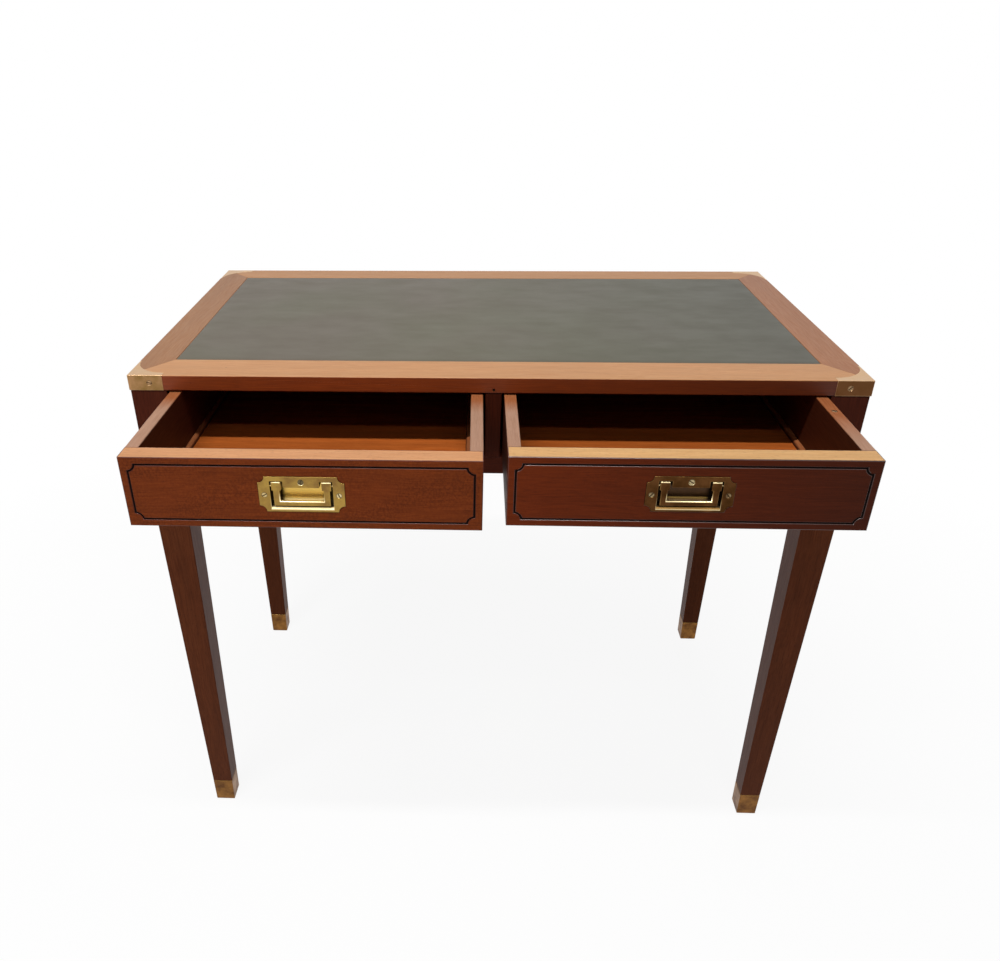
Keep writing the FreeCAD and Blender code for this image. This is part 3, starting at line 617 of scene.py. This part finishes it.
def brass(tree, clean, dull, upper, gloss=0.32, rise=(0.3, 0.8), cup=None, soiled=False):
    """Cast and filed brass, once lacquered: a clean yellow that goes dull in soft clouds.

    Faces that look up take their own tone, a painted top light.  A cup is the middle of its mouth,
    the tone that the brass goes towards behind the face, a painted light in the left cup and a
    painted shade in the right, the tone of a band along its cove, a painted highlight, and how much
    of the metal's look the tarnish leaves inside.  It takes a painted shade beside the bail's arms
    and behind its sill, and round it only the mouth's own faces take the painted top light.  A
    screw head that is shaded and soiled reads its painted shade and dirt from its points.
    """
    place = add(tree, "TexCoord", output="Object")
    clouds = add(tree, "MapRange", grain(tree, place, TARNISH_MM, 4.0, 0.6), 0.36, 0.64)
    specks = add(tree, "MapRange", grain(tree, place, SPECK_MM), 0.55, 0.75, 0.0, 0.35)
    body = add(tree, "Mix", clouds, dull, clean, **TINT)
    body = add(tree, "Mix", specks, body, dull, **TINT)
    deep = colours().brass_shade_and_tarnish
    metal = 1.0
    lit_from_above = facing_up(tree, *rise)
    if cup:
        middle, lining, cove_highlight, metal_left = cup
        away = add(tree, "VectorMath", place, middle, operation="SUBTRACT")
        _, back, level = add(tree, "SeparateXYZ", away).node.outputs
        apart = add(tree, "VectorMath", away, operation="ABSOLUTE")
        aside, _, upright = add(tree, "SeparateXYZ", apart).node.outputs
        lined = add(tree, "MapRange", back, *LINED_BACK)
        body = add(tree, "Mix", lined, body, lining, **TINT)
        metal = add(tree, "MapRange", back, *TARNISHED_BACK, 1.0, metal_left)
        cove = add(tree, "MapRange", level, *COVE_FOOT)
        for share in (
            add(tree, "MapRange", level, *COVE_HEAD, 1.0, 0.0),
            add(tree, "MapRange", back, *COVE_BACK),
        ):
            cove = add(tree, "Math", cove, share, **PRODUCT)
        body = add(tree, "Mix", cove, body, cove_highlight, **TINT)
        between = add(tree, "MapRange", aside, *MOUTH_OUT, 1.0, 0.0)
        within = add(tree, "MapRange", upright, *MOUTH_UP, 1.0, 0.0)
        mouth = add(tree, "Math", between, within, **PRODUCT)
        lit_from_above = add(tree, "Math", lit_from_above, mouth, **PRODUCT)
    body = add(tree, "Mix", lit_from_above, body, upper, **TINT)
    # Painted shade behind the sill and beside the bail's arms.
    if cup:
        behind = add(tree, "MapRange", back, *SHADE_BACK)
        under = add(tree, "MapRange", level, *SILL_SHADE_UP, DEEPEST_SHADE_AND_DIRT, 0.0)
        beside = add(tree, "MapRange", aside, *ARM_SHADE_OUT, 0.0, DEEPEST_SHADE_AND_DIRT)
        shade_and_dirt = add(tree, "Math", under, beside, operation="MAXIMUM")
        shade_and_dirt = add(tree, "Math", behind, shade_and_dirt, **PRODUCT)
        body = add(tree, "Mix", shade_and_dirt, body, deep, **TINT)
    if soiled:
        soil = add(tree, "Attribute", output="Fac", attribute_name="soil")
        shade_and_dirt = add(tree, "MapRange", soil, 0.0, 1.0, 0.0, DEEPEST_SHADE_AND_DIRT)
        body = add(tree, "Mix", shade_and_dirt, body, deep, **TINT)
    cast = grain(tree, place, CAST_MM)
    relief = add(tree, "Bump", named={"Strength": 0.15, "Distance": CAST_DEPTH, "Height": cast})
    roughness = add(tree, "MapRange", clouds, 0.0, 1.0, gloss + 0.12, gloss)
    return {"Base Color": body, "Metallic": metal, "Roughness": roughness, "Normal": relief}


# The ebony's streaks along X, Y and Z, in millimetres.
EBONY_STREAK_MM = (25, 1, 1)


def ebony(tree):
    """Ebony, polished in with the front: near black, with faint streaks along the board."""
    tone = colours().ebony
    streaks = grain(tree, add(tree, "TexCoord", output="Object"), EBONY_STREAK_MM)
    light = [2 * value for value in tone]
    body = add(tree, "Mix", streaks, tone, light, **TINT)
    return {"Base Color": body, "Roughness": 0.5, "Specular IOR Level": 0.02}


def tone_pair(kind, share=(1.0, 1.0, 1.0)):
    """A wood's light and dark tones, each of their channels times a share."""
    return tuple(
        tuple(part * value for part, value in zip(share, getattr(colours(), f"{kind}_{end}")))
        for end in ("light", "dark")
    )


# Words for the way that a grain runs, and the finishes made so far, by name.
WAY = {X: "across the desk", Y: "front to back", Z: "upright"}
made = {}


def once(name, maker, *args, **options):
    """The finish of that name, made on its first use."""
    if name not in made:
        made[name], tree = new_finish(name)
        shader = add(tree, "BsdfPrincipled", named=maker(tree, *args, **options))
        add(tree, "OutputMaterial", shader)
    return made[name]


def ebony_string():
    """Ebony of the strings and the peg."""
    return once("Polished ebony", ebony)


def polished(along):
    """French-polished mahogany of the frieze, in painted shade under the top and to the right."""
    name = f"French-polished mahogany, {WAY[along]}"
    return once(name, timber, along, *tone_pair("frieze"), shine=0.06, fall=0.3)


def leg_polish():
    """French-polished mahogany of the legs, redder and darker above the rail: painted shade."""
    name = "French-polished mahogany, legs"
    tones, above = tone_pair("leg"), tone_pair("frieze")
    return once(name, timber, Z, *tones, frieze=above, pores=0.35, shine=0.07)


def waxed(along, part="linings"):
    """Waxed mahogany of the drawer linings, with a painted top light and sheen on the upper edges."""
    return once(
        f"Waxed mahogany, {part}, {WAY[along]}",
        timber,
        along,
        *tone_pair("lining"),
        crown=tone_pair("sawn"),
        unworn=tone_pair("unworn"),
        unworn_from=LESS_SHEEN_FROM[part],
        gloss=0.5,
        pores=0.1,
    )


def rough(along):
    """Sawn mahogany of the hidden timbers, unpolished."""
    name = f"Sawn mahogany, {WAY[along]}"
    return once(name, timber, along, *tone_pair("rough"), gloss=0.75, shine=0.05)


def brass_tones(*kinds):
    """The brass tones of the given kinds."""
    return [getattr(colours(), f"brass_{kind}") for kind in kinds]


def brass_of(word, clean, dull, upper, **options):
    """Brass of three kinds of tone: clean, dull, and where it looks up, a painted top light."""
    return once(f"Lacquered brass, {word}", brass, *brass_tones(clean, dull, upper), **options)


def screw_brass(word, clean, dull):
    """Brass of turned screw heads, with a painted shade in the slot and round the rim."""
    return brass_of(f"turned screws, {word}", clean, dull, clean, soiled=True)


# ---- Pieces ----

# Sizes of the solids that their boxes don't give.  The plate's zone is the half size of the part
# of a pull's plate inside which its arrises are the mouth's.
SCREW_HEAD = 3.3 * MM
BRASS_SHEET = 1.8 * MM
MOUNT_SCREW_OFFSET = 27 * MM
STRING_WIDTH = 2.0 * MM
STRING_CORNER = 8 * MM
PLATE_HEIGHT = 43 * MM
PLATE_THICKNESS = 2.5 * MM
PLATE_ZONE = (36 * MM, math.inf, 20 * MM)

# Stations of a corner of the string, of the leather across, back and round its rolled edge, and
# the width over which its swell sets in.
STRING_STATIONS = 12
LEATHER_STATIONS = (60, 40)
LEATHER_ROLL_STATIONS = 6
LEATHER_SETTLE = 20 * MM
# The swell's wave along X and its wave along Y, each with the size and the wave of its bend along
# the other axis: waves in radians a metre, sizes in radians.
LEATHER_WAVES = ((31, 1.3, 17), (43, 0.9, 23))

# Rounding of the arrises of the peg and the beads, and of the bails' pivots.
FINE_ARRIS = 0.2 * MM
PIVOT_ARRIS = 0.1 * MM

# Faces of a pull's plate with more sides than this are its front and its back, and stay whole.
PLATE_SIDES = 50

# Across and up from the middle of a pull's plate: its left, tongue and right screws.
PLATE_SCREWS = ((-41 * MM, -1 * MM), (0.0, 15 * MM), (41 * MM, -1 * MM))

# How far each of those screws is turned, in radians, and how dirty it is.
PLATE_SCREW_STATE = {
    "left": ((0.5, 0.0), (1.2, 0.9), (2.0, 0.1)),
    "right": ((0.9, 0.2), (2.6, 0.2), (2.3, 0.2)),
}

# The same for the screws of the mounts, and for the one in the right drawer's side.
MOUNT_SCREW_STATE = {
    "front_left": (-0.2, 0.0),
    "front_right": (0.8, 0.5),
    "back_left": (0.6, 0.0),
    "back_right": (1.6, 0.5),
}
SIDE_SCREW_STATE = (0.3, 0.3)

# Between these places along Y the drawers' upper edges go from their painted sheen to less of
# it, and between these heights the legs go over to the frieze's tones, a painted shade under
# the top.
LESS_SHEEN_FROM = {"linings": (-0.215, -0.180), "outer side": (-0.290, -0.215)}
FRIEZE_FROM = (0.640, 0.670)

# How strong the red, green and blue are beside the tones that finishes share: of each border
# board, the top's edge, the drawer fronts' arrises, darker as a painted shade, and each drawer
# front and its upper edge.
BOARD_SHARE = {
    "front": (0.93, 0.93, 0.93),
    "back": (0.87, 0.84, 0.77),
    "left": (0.53, 0.47, 0.39),
    "right": (0.59, 0.47, 0.42),
}
EDGE_SHARE = (1.22, 1.26, 1.22)
SHADED_ARRIS_SHARE = (0.6, 0.5, 0.5)
FRONT_SHARE = {"left": (1.16, 1.26, 1.08), "right": (1.06, 0.93, 0.70)}
LIT_LIP_SHARE = {"left": (0.87, 0.84, 0.92), "right": (0.94, 1.07, 1.05)}

# Each drawer front's mottle, its darkening to the right, a painted shade where the light falls
# off, and the shine of its arrises.
FRONT_LOOK = {"left": (0.5, 0.0, 0.2), "right": (0.12, 0.75, 0.6)}

# Small knots in the front board: place and radius.
TOP_KNOTS = (
    ((-0.3774, -0.1622, 0.7532), 1.6 * MM),
    ((-0.2390, -0.1622, 0.7496), 1.3 * MM),
    ((-0.3381, -0.1334, 0.7620), 1.4 * MM),
    ((-0.1251, -0.1348, 0.7620), 1.2 * MM),
)


class DESK_OT_top_boards(bpy.types.Operator):
    """The four mitred border boards of the top and the dark peg in its front edge"""

    bl_idname = "desk.top_boards"
    bl_label = "Top boards"

    def execute(self, context):
        for side, along in (("front", X), ("back", X), ("left", Y), ("right", Y)):
            # Faces that look up take the faded tones, a sun-faded polish under a painted top light and
            # sheen, and the polish takes a painted shade towards the right, where the light falls off.
            finish = once(
                f"Faded French polish, {side} board",
                timber,
                along,
                *tone_pair("polish", EDGE_SHARE),
                crown=tone_pair("faded", BOARD_SHARE[side]),
                bands=0.1,
                pores=0.12,
                shine=0.3,
                knots=TOP_KNOTS if side == "front" else (),
                fall=0.6,
            )
            eased_copy(f"top_frame_{side}", finish, sizes().board_arris, inner_share=0.3)
        eased_copy("edge_peg", ebony_string(), FINE_ARRIS)
        return {"FINISHED"}


class DESK_OT_writing_leather(bpy.types.Operator):
    """The leather let into the top, rolled down at its edges"""

    bl_idname = "desk.writing_leather"
    bl_label = "Writing leather"

    def execute(self, context):
        """Height is the top less a quarter-round fall near the edge and the leather's swell.

        The swell is the product of two sine waves, about 200 mm and 150 mm long, each bent by
        another, and it fades in over the settling width inside the edge.
        """
        size = sizes()
        low, high = node_box("writing_leather")
        tuck = size.leather_tuck
        roll = tuck * (1 - np.cos(np.linspace(0, math.pi / 2, LEATHER_ROLL_STATIONS)))

        def stations(axis, count):
            first, last = low[axis], high[axis]
            inner = np.linspace(first + tuck, last - tuck, count)[1:-1]
            return np.concatenate(([first], first + roll, inner, last - roll[::-1], [last]))

        across, back = (stations(axis, LEATHER_STATIONS[axis]) for axis in (X, Y))
        x, y = np.meshgrid(across, back, indexing="ij")
        edge = np.minimum.reduce((x - low[X], high[X] - x, y - low[Y], high[Y] - y))
        inside = np.clip(tuck - edge, 0, tuck)
        fall = tuck - np.sqrt(tuck**2 - inside**2)
        (wave_x, bend_x, over_y), (wave_y, bend_y, over_x) = LEATHER_WAVES
        waves = np.sin(x * wave_x + bend_x * np.sin(y * over_y))
        waves *= np.sin(y * wave_y + bend_y * np.sin(x * over_x))
        settle = np.clip((edge - tuck) / LEATHER_SETTLE, 0, 1)
        z = high[Z] - fall - size.leather_swell * (1 - waves) / 2 * settle
        z[0], z[-1], z[:, 0], z[:, -1] = low[Z], low[Z], low[Z], low[Z]
        upper = np.stack((x, y, z), axis=-1)
        lower = np.stack((x, y, np.full(z.shape, low[Z])), axis=-1)
        faces = np.concatenate([grid_faces(*z.shape, start, False) for start in (0, z.size)])
        mesh = welded_mesh("writing_leather_skin", np.stack((upper, lower)), faces)
        new_piece(mesh, "writing_leather", once("Waxed skiver leather", skiver))
        return {"FINISHED"}


class DESK_OT_corner_mounts(bpy.types.Operator):
    """The brass sheet mounts let into the four corners of the top, and their screws"""

    bl_idname = "desk.corner_mounts"
    bl_label = "Corner mounts"

    def execute(self, context):
        # The right mounts are darker than the left, a painted shade where the light falls off to the
        # right; upper faces and folds take cream, a painted top light and highlight.
        left = brass_of("left mounts", "mount", "aged", "cream")
        right = brass_of("right mounts", "russet", "brown", "cream")
        highlit_fold = brass_of("folds of the mounts", "cream", "mount", "cream")
        for corner in CORNERS:
            finish = right if corner.endswith("right") else left
            eased_copy(f"corner_mount_{corner}", finish, sizes().brass_arris, rubbed=highlit_fold)
        low, high = node_box("corner_mount_screws")
        level = (low[Z] + high[Z]) / 2
        heads = []
        for side, sign_x, side_x in (("left", -1, low[X]), ("right", 1, high[X])):
            for end, sign_y, edge_y in (("front", -1, low[Y]), ("back", 1, high[Y])):
                turn, tarnish = MOUNT_SCREW_STATE[f"{end}_{side}"]
                on_edge = (side_x - sign_x * MOUNT_SCREW_OFFSET, edge_y, level)
                on_end = (side_x, edge_y - sign_y * MOUNT_SCREW_OFFSET, level)
                heads.append((on_edge, (0, sign_y, 0), turn, SCREW_HEAD, BRASS_SHEET, tarnish))
                heads.append((on_end, (sign_x, 0, 0), -turn, SCREW_HEAD, BRASS_SHEET, tarnish))
        finish = screw_brass("mounts", "cream", "mount")
        slotted_screws("corner_mount_screw_heads", heads, finish, "corner_mount_screws")
        return {"FINISHED"}


class DESK_OT_legs(bpy.types.Operator):
    """The four tapered legs and their brass shoes"""

    bl_idname = "desk.legs"
    bl_label = "Legs and shoes"

    def execute(self, context):
        shoe = brass_of("shoes", "shoe", "brown", "aged")
        for corner in CORNERS:
            eased_copy(f"leg_{corner}", leg_polish(), sizes().board_arris, inner_share=1.0)
            eased_copy(f"sabot_{corner}", shoe, sizes().board_arris, inner_share=0.6)
        return {"FINISHED"}


class DESK_OT_frieze(bpy.types.Operator):
    """The aprons, the stile between the drawers and the rail under them"""

    bl_idname = "desk.frieze"
    bl_label = "Frieze"

    def execute(self, context):
        for node, along in (
            ("apron_left", Y),
            ("apron_right", Y),
            ("apron_back", X),
            ("centre_stile", Z),
            ("drawer_rail", X),
        ):
            eased_copy(node, polished(along), sizes().board_arris, inner_share=0.6)
        return {"FINISHED"}


class DESK_OT_inner_timbers(bpy.types.Operator):
    """The panel under the leather, and the runners, guides, stops and glue blocks"""

    bl_idname = "desk.inner_timbers"
    bl_label = "Inner timbers"

    def execute(self, context):
        arris = sizes().rough_arris
        eased_copy("top_panel", rough(X), arris)
        for place in (*SIDES, "centre"):
            eased_copy(f"runner_{place}", rough(Y), arris)
            eased_copy(f"guide_{place}", rough(Y), arris)
        eased_copy("drawer_stops", rough(Y), arris)
        eased_copy("glue_blocks", rough(X), arris)
        return {"FINISHED"}


class DESK_OT_drawers(bpy.types.Operator):
    """Both drawers: polished fronts, dovetailed sides, backs, bottoms and quarter-round beads"""

    bl_idname = "desk.drawers"
    bl_label = "Drawers"

    def execute(self, context):
        arris = sizes().board_arris
        for side in SIDES:
            # Each front's faces that look up take the lip tones, a painted top light and sheen; its
            # arrises take darker tones, a painted shade; and the right front darkens towards the right,
            # a painted shade where the light falls off.
            mottle, fall, shine = FRONT_LOOK[side]
            words = f"French-polished mahogany, {side} drawer front"
            tones, lip = tone_pair("polish", FRONT_SHARE[side]), tone_pair("lip", LIT_LIP_SHARE[side])
            front = once(words, timber, X, *tones, lip, mottle=mottle, fall=fall)
            words = f"{words}, arrises"
            tones = tone_pair("polish", SHADED_ARRIS_SHARE)
            edge = once(words, timber, X, *tones, gloss=0.3, shine=shine, fall=fall)
            drawer = f"drawer_{side}"
            eased_copy(f"{drawer}_front", front, arris, inner_share=0.6, rubbed=edge)
            for wall in SIDES:
                part = "outer side" if side == wall == "right" else "linings"
                eased_copy(f"{drawer}_side_{wall}", waxed(Y, part), arris, inner_share=0.15)
            eased_copy(f"{drawer}_back", waxed(X), arris, inner_share=0.15)
            bottom = once("Waxed drawer bottom", timber, X, *tone_pair("floor"), bands=0.25)
            eased_copy(f"{drawer}_bottom", bottom, sizes().rough_arris)
            eased_copy(f"{drawer}_beads", waxed(Y), FINE_ARRIS)
        return {"FINISHED"}


class DESK_OT_strings(bpy.types.Operator):
    """The ebony string round each drawer front, a little below the face and hollow"""

    bl_idname = "desk.strings"
    bl_label = "Ebony strings"

    def execute(self, context):
        """Path: straight runs joined by quarter rounds struck about the loop's own corners."""
        size = sizes()
        half = STRING_WIDTH / 2
        radius = STRING_CORNER + half
        start = math.asin(half / radius)
        sweep = np.linspace(start, math.pi / 2 - start, STRING_STATIONS)
        for side in SIDES:
            node = f"drawer_{side}_string"
            low, high = node_box(node)
            half_x, _, half_z = (high - low) / 2
            quarters = []
            for number, (sign_x, sign_z) in enumerate(((1, -1), (1, 1), (-1, 1), (-1, -1))):
                angles = sweep[::-1] if number % 2 else sweep
                u = sign_x * (half_x - radius * np.cos(angles))
                v = sign_z * (half_z - radius * np.sin(angles))
                quarters.append(np.stack((u, v), axis=1))
            path = np.concatenate(quarters) + ((low + high) / 2)[[X, Z]]
            top = low[Y] + size.string_sink
            hollow = (0, top + size.string_hollow)
            profile = np.array([(-half, high[Y]), (-half, top), hollow, (half, top), (half, high[Y])])
            new_piece(carried_profile(f"{node}_channel", path, profile), node, ebony_string())
        return {"FINISHED"}


class DESK_OT_pulls(bpy.types.Operator):
    """The recessed brass pulls: plate and cup, swinging bail, its pivots and the screws"""

    bl_idname = "desk.pulls"
    bl_label = "Drawer pulls"

    def execute(self, context):
        size = sizes()
        # The right pull is darker than the left, a painted shade where the light falls off to the
        # right.  Its cup is lined with a painted shade, the left cup with a painted light, and upper
        # faces and arrises take a painted top light and highlight.
        for side, tones, arris, lip, lining, metal_left in (
            ("left", ("bright", "aged"), "bright", "edge", ("lining", "lining"), 0.75),
            ("right", ("brown", "dark"), "aged", "aged", ("dark", "bright"), 0.6),
        ):
            pull = f"pull_{side}"
            low, high = node_box(f"{pull}_plate")
            x, z = (low[X] + high[X]) / 2, high[Z] - PLATE_HEIGHT / 2
            face = float(low[Y])
            cup = ((float(x), face, float(z)), *brass_tones(*lining), metal_left)
            plate = brass_of(f"{side} pull plate", *tones, lip, cup=cup)
            bail = brass_of(f"{side} pull bail", *tones, "edge")
            edge = brass_of(f"{side} pull arrises", arris, tones[0], "edge", rise=(0.1, 0.5), cup=cup)
            eased_copy(
                f"{pull}_plate",
                plate,
                size.brass_arris,
                inner_share=1.0,
                outer_share=0.3,
                rubbed=edge,
                middle_zone=PLATE_ZONE,
                whole_above=PLATE_SIDES,
            )
            eased_copy(f"{pull}_bail", bail, size.bail_arris, inner_share=1.0, rubbed=edge)
            eased_copy(f"{pull}_pivots", bail, PIVOT_ARRIS)
            heads = [
                ((x + dx, face, z + dz), (0, -1, 0), turn, SCREW_HEAD, PLATE_THICKNESS, shade_and_dirt)
                for (dx, dz), (turn, shade_and_dirt) in zip(PLATE_SCREWS, PLATE_SCREW_STATE[side])
            ]
            finish = screw_brass(f"{side} pull", "edge", tones[0])
            slotted_screws(f"{pull}_screw_heads", heads, finish, f"{pull}_screws")
        node = "drawer_right_side_screw"
        low, high = node_box(node)
        middle, radius = (low + high) / 2, (high[X] - low[X]) / 2
        turn, shade_and_dirt = SIDE_SCREW_STATE
        head = ((middle[X], middle[Y], high[Z]), (0, 0, 1), turn, radius, BRASS_SHEET, shade_and_dirt)
        slotted_screws(f"{node}_head", [head], screw_brass("mounts", "cream", "mount"), node)
        return {"FINISHED"}


# ---- Stage ----

# The world's strength as light, half the floor's width in metres, and how bright the floor is as
# light and to the eye.
WORLD_LIGHT = 0.06
FLOOR_HALF_WIDTH = 6
FLOOR_GREY = 0.45
PAPER_WHITE = 0.95
# Distances from the desk's foot between which the paper goes over to white, and the share that
# is white at the first.
PAPER_FADE = (0.5, 1.6)
PAPER_WHITENESS = 0.92

# Name, place, point aimed at, width and height, power.
LAMPS = (
    ("Overhead strip softbox", (-0.4, -1.0, 3.0), (-0.4, -0.1, 0.7), (2.0, 0.1), 70.0),
    ("Front strip softbox", (0.0, -1.85, 2.6), (0.0, -0.1, 0.7), (2.4, 0.1), 7.0),
    ("Low front fill", (-0.9, -2.4, 0.5), (0.0, -0.3, 0.5), (1.4, 0.8), 14.0),
    ("Low back fill", (0.9, 2.6, 0.5), (0.0, 0.3, 0.5), (1.4, 0.8), 14.0),
)

CAMERA_PLACE = (-0.02460, -1.16359, 1.14910)
CAMERA_TURN_DEGREES = (60.0673, 0.5164, 2.5445)
SENSOR_WIDTH_MM = 36.0
LENS_MM = 31.175
LENS_SHIFT = (0.0652, 0.0314)
CLIP_DISTANCES = (0.05, 50.0)


def seen_directly(tree):
    """One where the eye, a reflection or a refraction looks at the backdrop, and nought for light."""
    path = add(tree, "LightPath").node.outputs
    seen = path["Is Camera Ray"]
    for ray in ("Is Glossy Ray", "Is Transmission Ray"):
        seen = add(tree, "Math", seen, path[ray], operation="MAXIMUM")
    return seen


def paper_floor():
    """Seamless white paper: it takes the desk's soft shadow, and fades to plain white further out.

    It lights the desk as a mid grey does, so that the undersides stay dark.
    """
    material, tree = new_finish("Seamless paper")
    reach = add(tree, "VectorMath", add(tree, "TexCoord", output="Object"), operation="LENGTH")
    fade = add(tree, "MapRange", reach, *PAPER_FADE, PAPER_WHITENESS, 1.0)
    paper = add(tree, "BsdfDiffuse", (PAPER_WHITE,) * 3)
    white = add(tree, "Emission", named={"Strength": 1.0})
    grey = add(tree, "BsdfDiffuse", (FLOOR_GREY,) * 3)
    shown = add(tree, "MixShader", fade, paper, white)
    surface = add(tree, "MixShader", seen_directly(tree), grey, shown)
    add(tree, "OutputMaterial", surface)
    return material


class DESK_OT_stage(bpy.types.Operator):
    """The pale floor, the soft lamps, the world and the camera"""

    bl_idname = "desk.stage"
    bl_label = "Stage"

    def execute(self, context):
        scene = context.scene
        scene.view_settings.view_transform = "Standard"
        line = np.linspace(-FLOOR_HALF_WIDTH, FLOOR_HALF_WIDTH, 3)
        u, v = np.meshgrid(line, line, indexing="ij")
        points = np.stack((u, v, np.zeros(u.shape)), axis=-1).reshape(-1, 3)
        faces = grid_faces(*u.shape, 0, False)[:, ::-1]
        mesh = bpy.data.meshes.new("floor")
        mesh.from_pydata(points.tolist(), [], faces.tolist())
        mesh.materials.append(paper_floor())
        floor = bpy.data.objects.new("floor", mesh)
        scene.collection.objects.link(floor)

        world = bpy.data.worlds.new("Studio")
        world.use_nodes = True
        tree = world.node_tree
        tree.nodes.clear()
        strength = add(tree, "MapRange", seen_directly(tree), 0.0, 1.0, WORLD_LIGHT, 1.0)
        add(tree, "OutputWorld", add(tree, "Background", (1.0,) * 3, strength))
        scene.world = world

        for name, place, aim, (width, height), power in LAMPS:
            lamp = bpy.data.lights.new(name, "AREA")
            lamp.shape = "RECTANGLE"
            lamp.size, lamp.size_y = width, height
            lamp.energy = power
            holder = bpy.data.objects.new(name, lamp)
            holder.location = place
            away = np.array(place) - np.array(aim)
            tilt = math.atan2(math.hypot(away[X], away[Y]), away[Z])
            holder.rotation_euler = (tilt, 0.0, math.atan2(away[X], -away[Y]))
            holder.visible_glossy = not name.startswith("Low")
            scene.collection.objects.link(holder)

        lens = bpy.data.cameras.new("Camera")
        lens.sensor_fit = "HORIZONTAL"
        lens.sensor_width = SENSOR_WIDTH_MM
        lens.lens = LENS_MM
        lens.shift_x, lens.shift_y = LENS_SHIFT
        lens.clip_start, lens.clip_end = CLIP_DISTANCES
        camera = bpy.data.objects.new("Camera", lens)
        camera.location = CAMERA_PLACE
        camera.rotation_euler = [math.radians(angle) for angle in CAMERA_TURN_DEGREES]
        scene.collection.objects.link(camera)
        scene.camera = camera
        return {"FINISHED"}


OPERATORS = (
    DESK_OT_top_boards,
    DESK_OT_writing_leather,
    DESK_OT_corner_mounts,
    DESK_OT_legs,
    DESK_OT_frieze,
    DESK_OT_inner_timbers,
    DESK_OT_drawers,
    DESK_OT_strings,
    DESK_OT_pulls,
    DESK_OT_stage,
)


class DESK_PT_pieces(bpy.types.Panel):
    """Lists the desk's sizes, colours and pieces"""

    bl_idname = "DESK_PT_pieces"
    bl_label = "Campaign desk"
    bl_space_type = "VIEW_3D"
    bl_region_type = "UI"
    bl_category = "Desk"

    def draw(self, context):
        for group in (context.scene.desk_sizes, context.scene.desk_colours):
            box = self.layout.box()
            for name in type(group).__annotations__:
                box.prop(group, name)
        for operator in OPERATORS:
            self.layout.operator(operator.bl_idname)


CLASSES = (DeskSizes, DeskColours, *OPERATORS, DESK_PT_pieces)


def register():
    for item in CLASSES:
        bpy.utils.register_class(item)
    bpy.types.Scene.desk_sizes = bpy.props.PointerProperty(type=DeskSizes)
    bpy.types.Scene.desk_colours = bpy.props.PointerProperty(type=DeskColours)


def unregister():
    del bpy.types.Scene.desk_colours
    del bpy.types.Scene.desk_sizes
    for item in reversed(CLASSES):
        bpy.utils.unregister_class(item)


def main():
    register()
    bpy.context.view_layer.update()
    for operator in OPERATORS:
        group, name = operator.bl_idname.split(".")
        getattr(getattr(bpy.ops, group), name)()


if __name__ == "__main__":
    main()
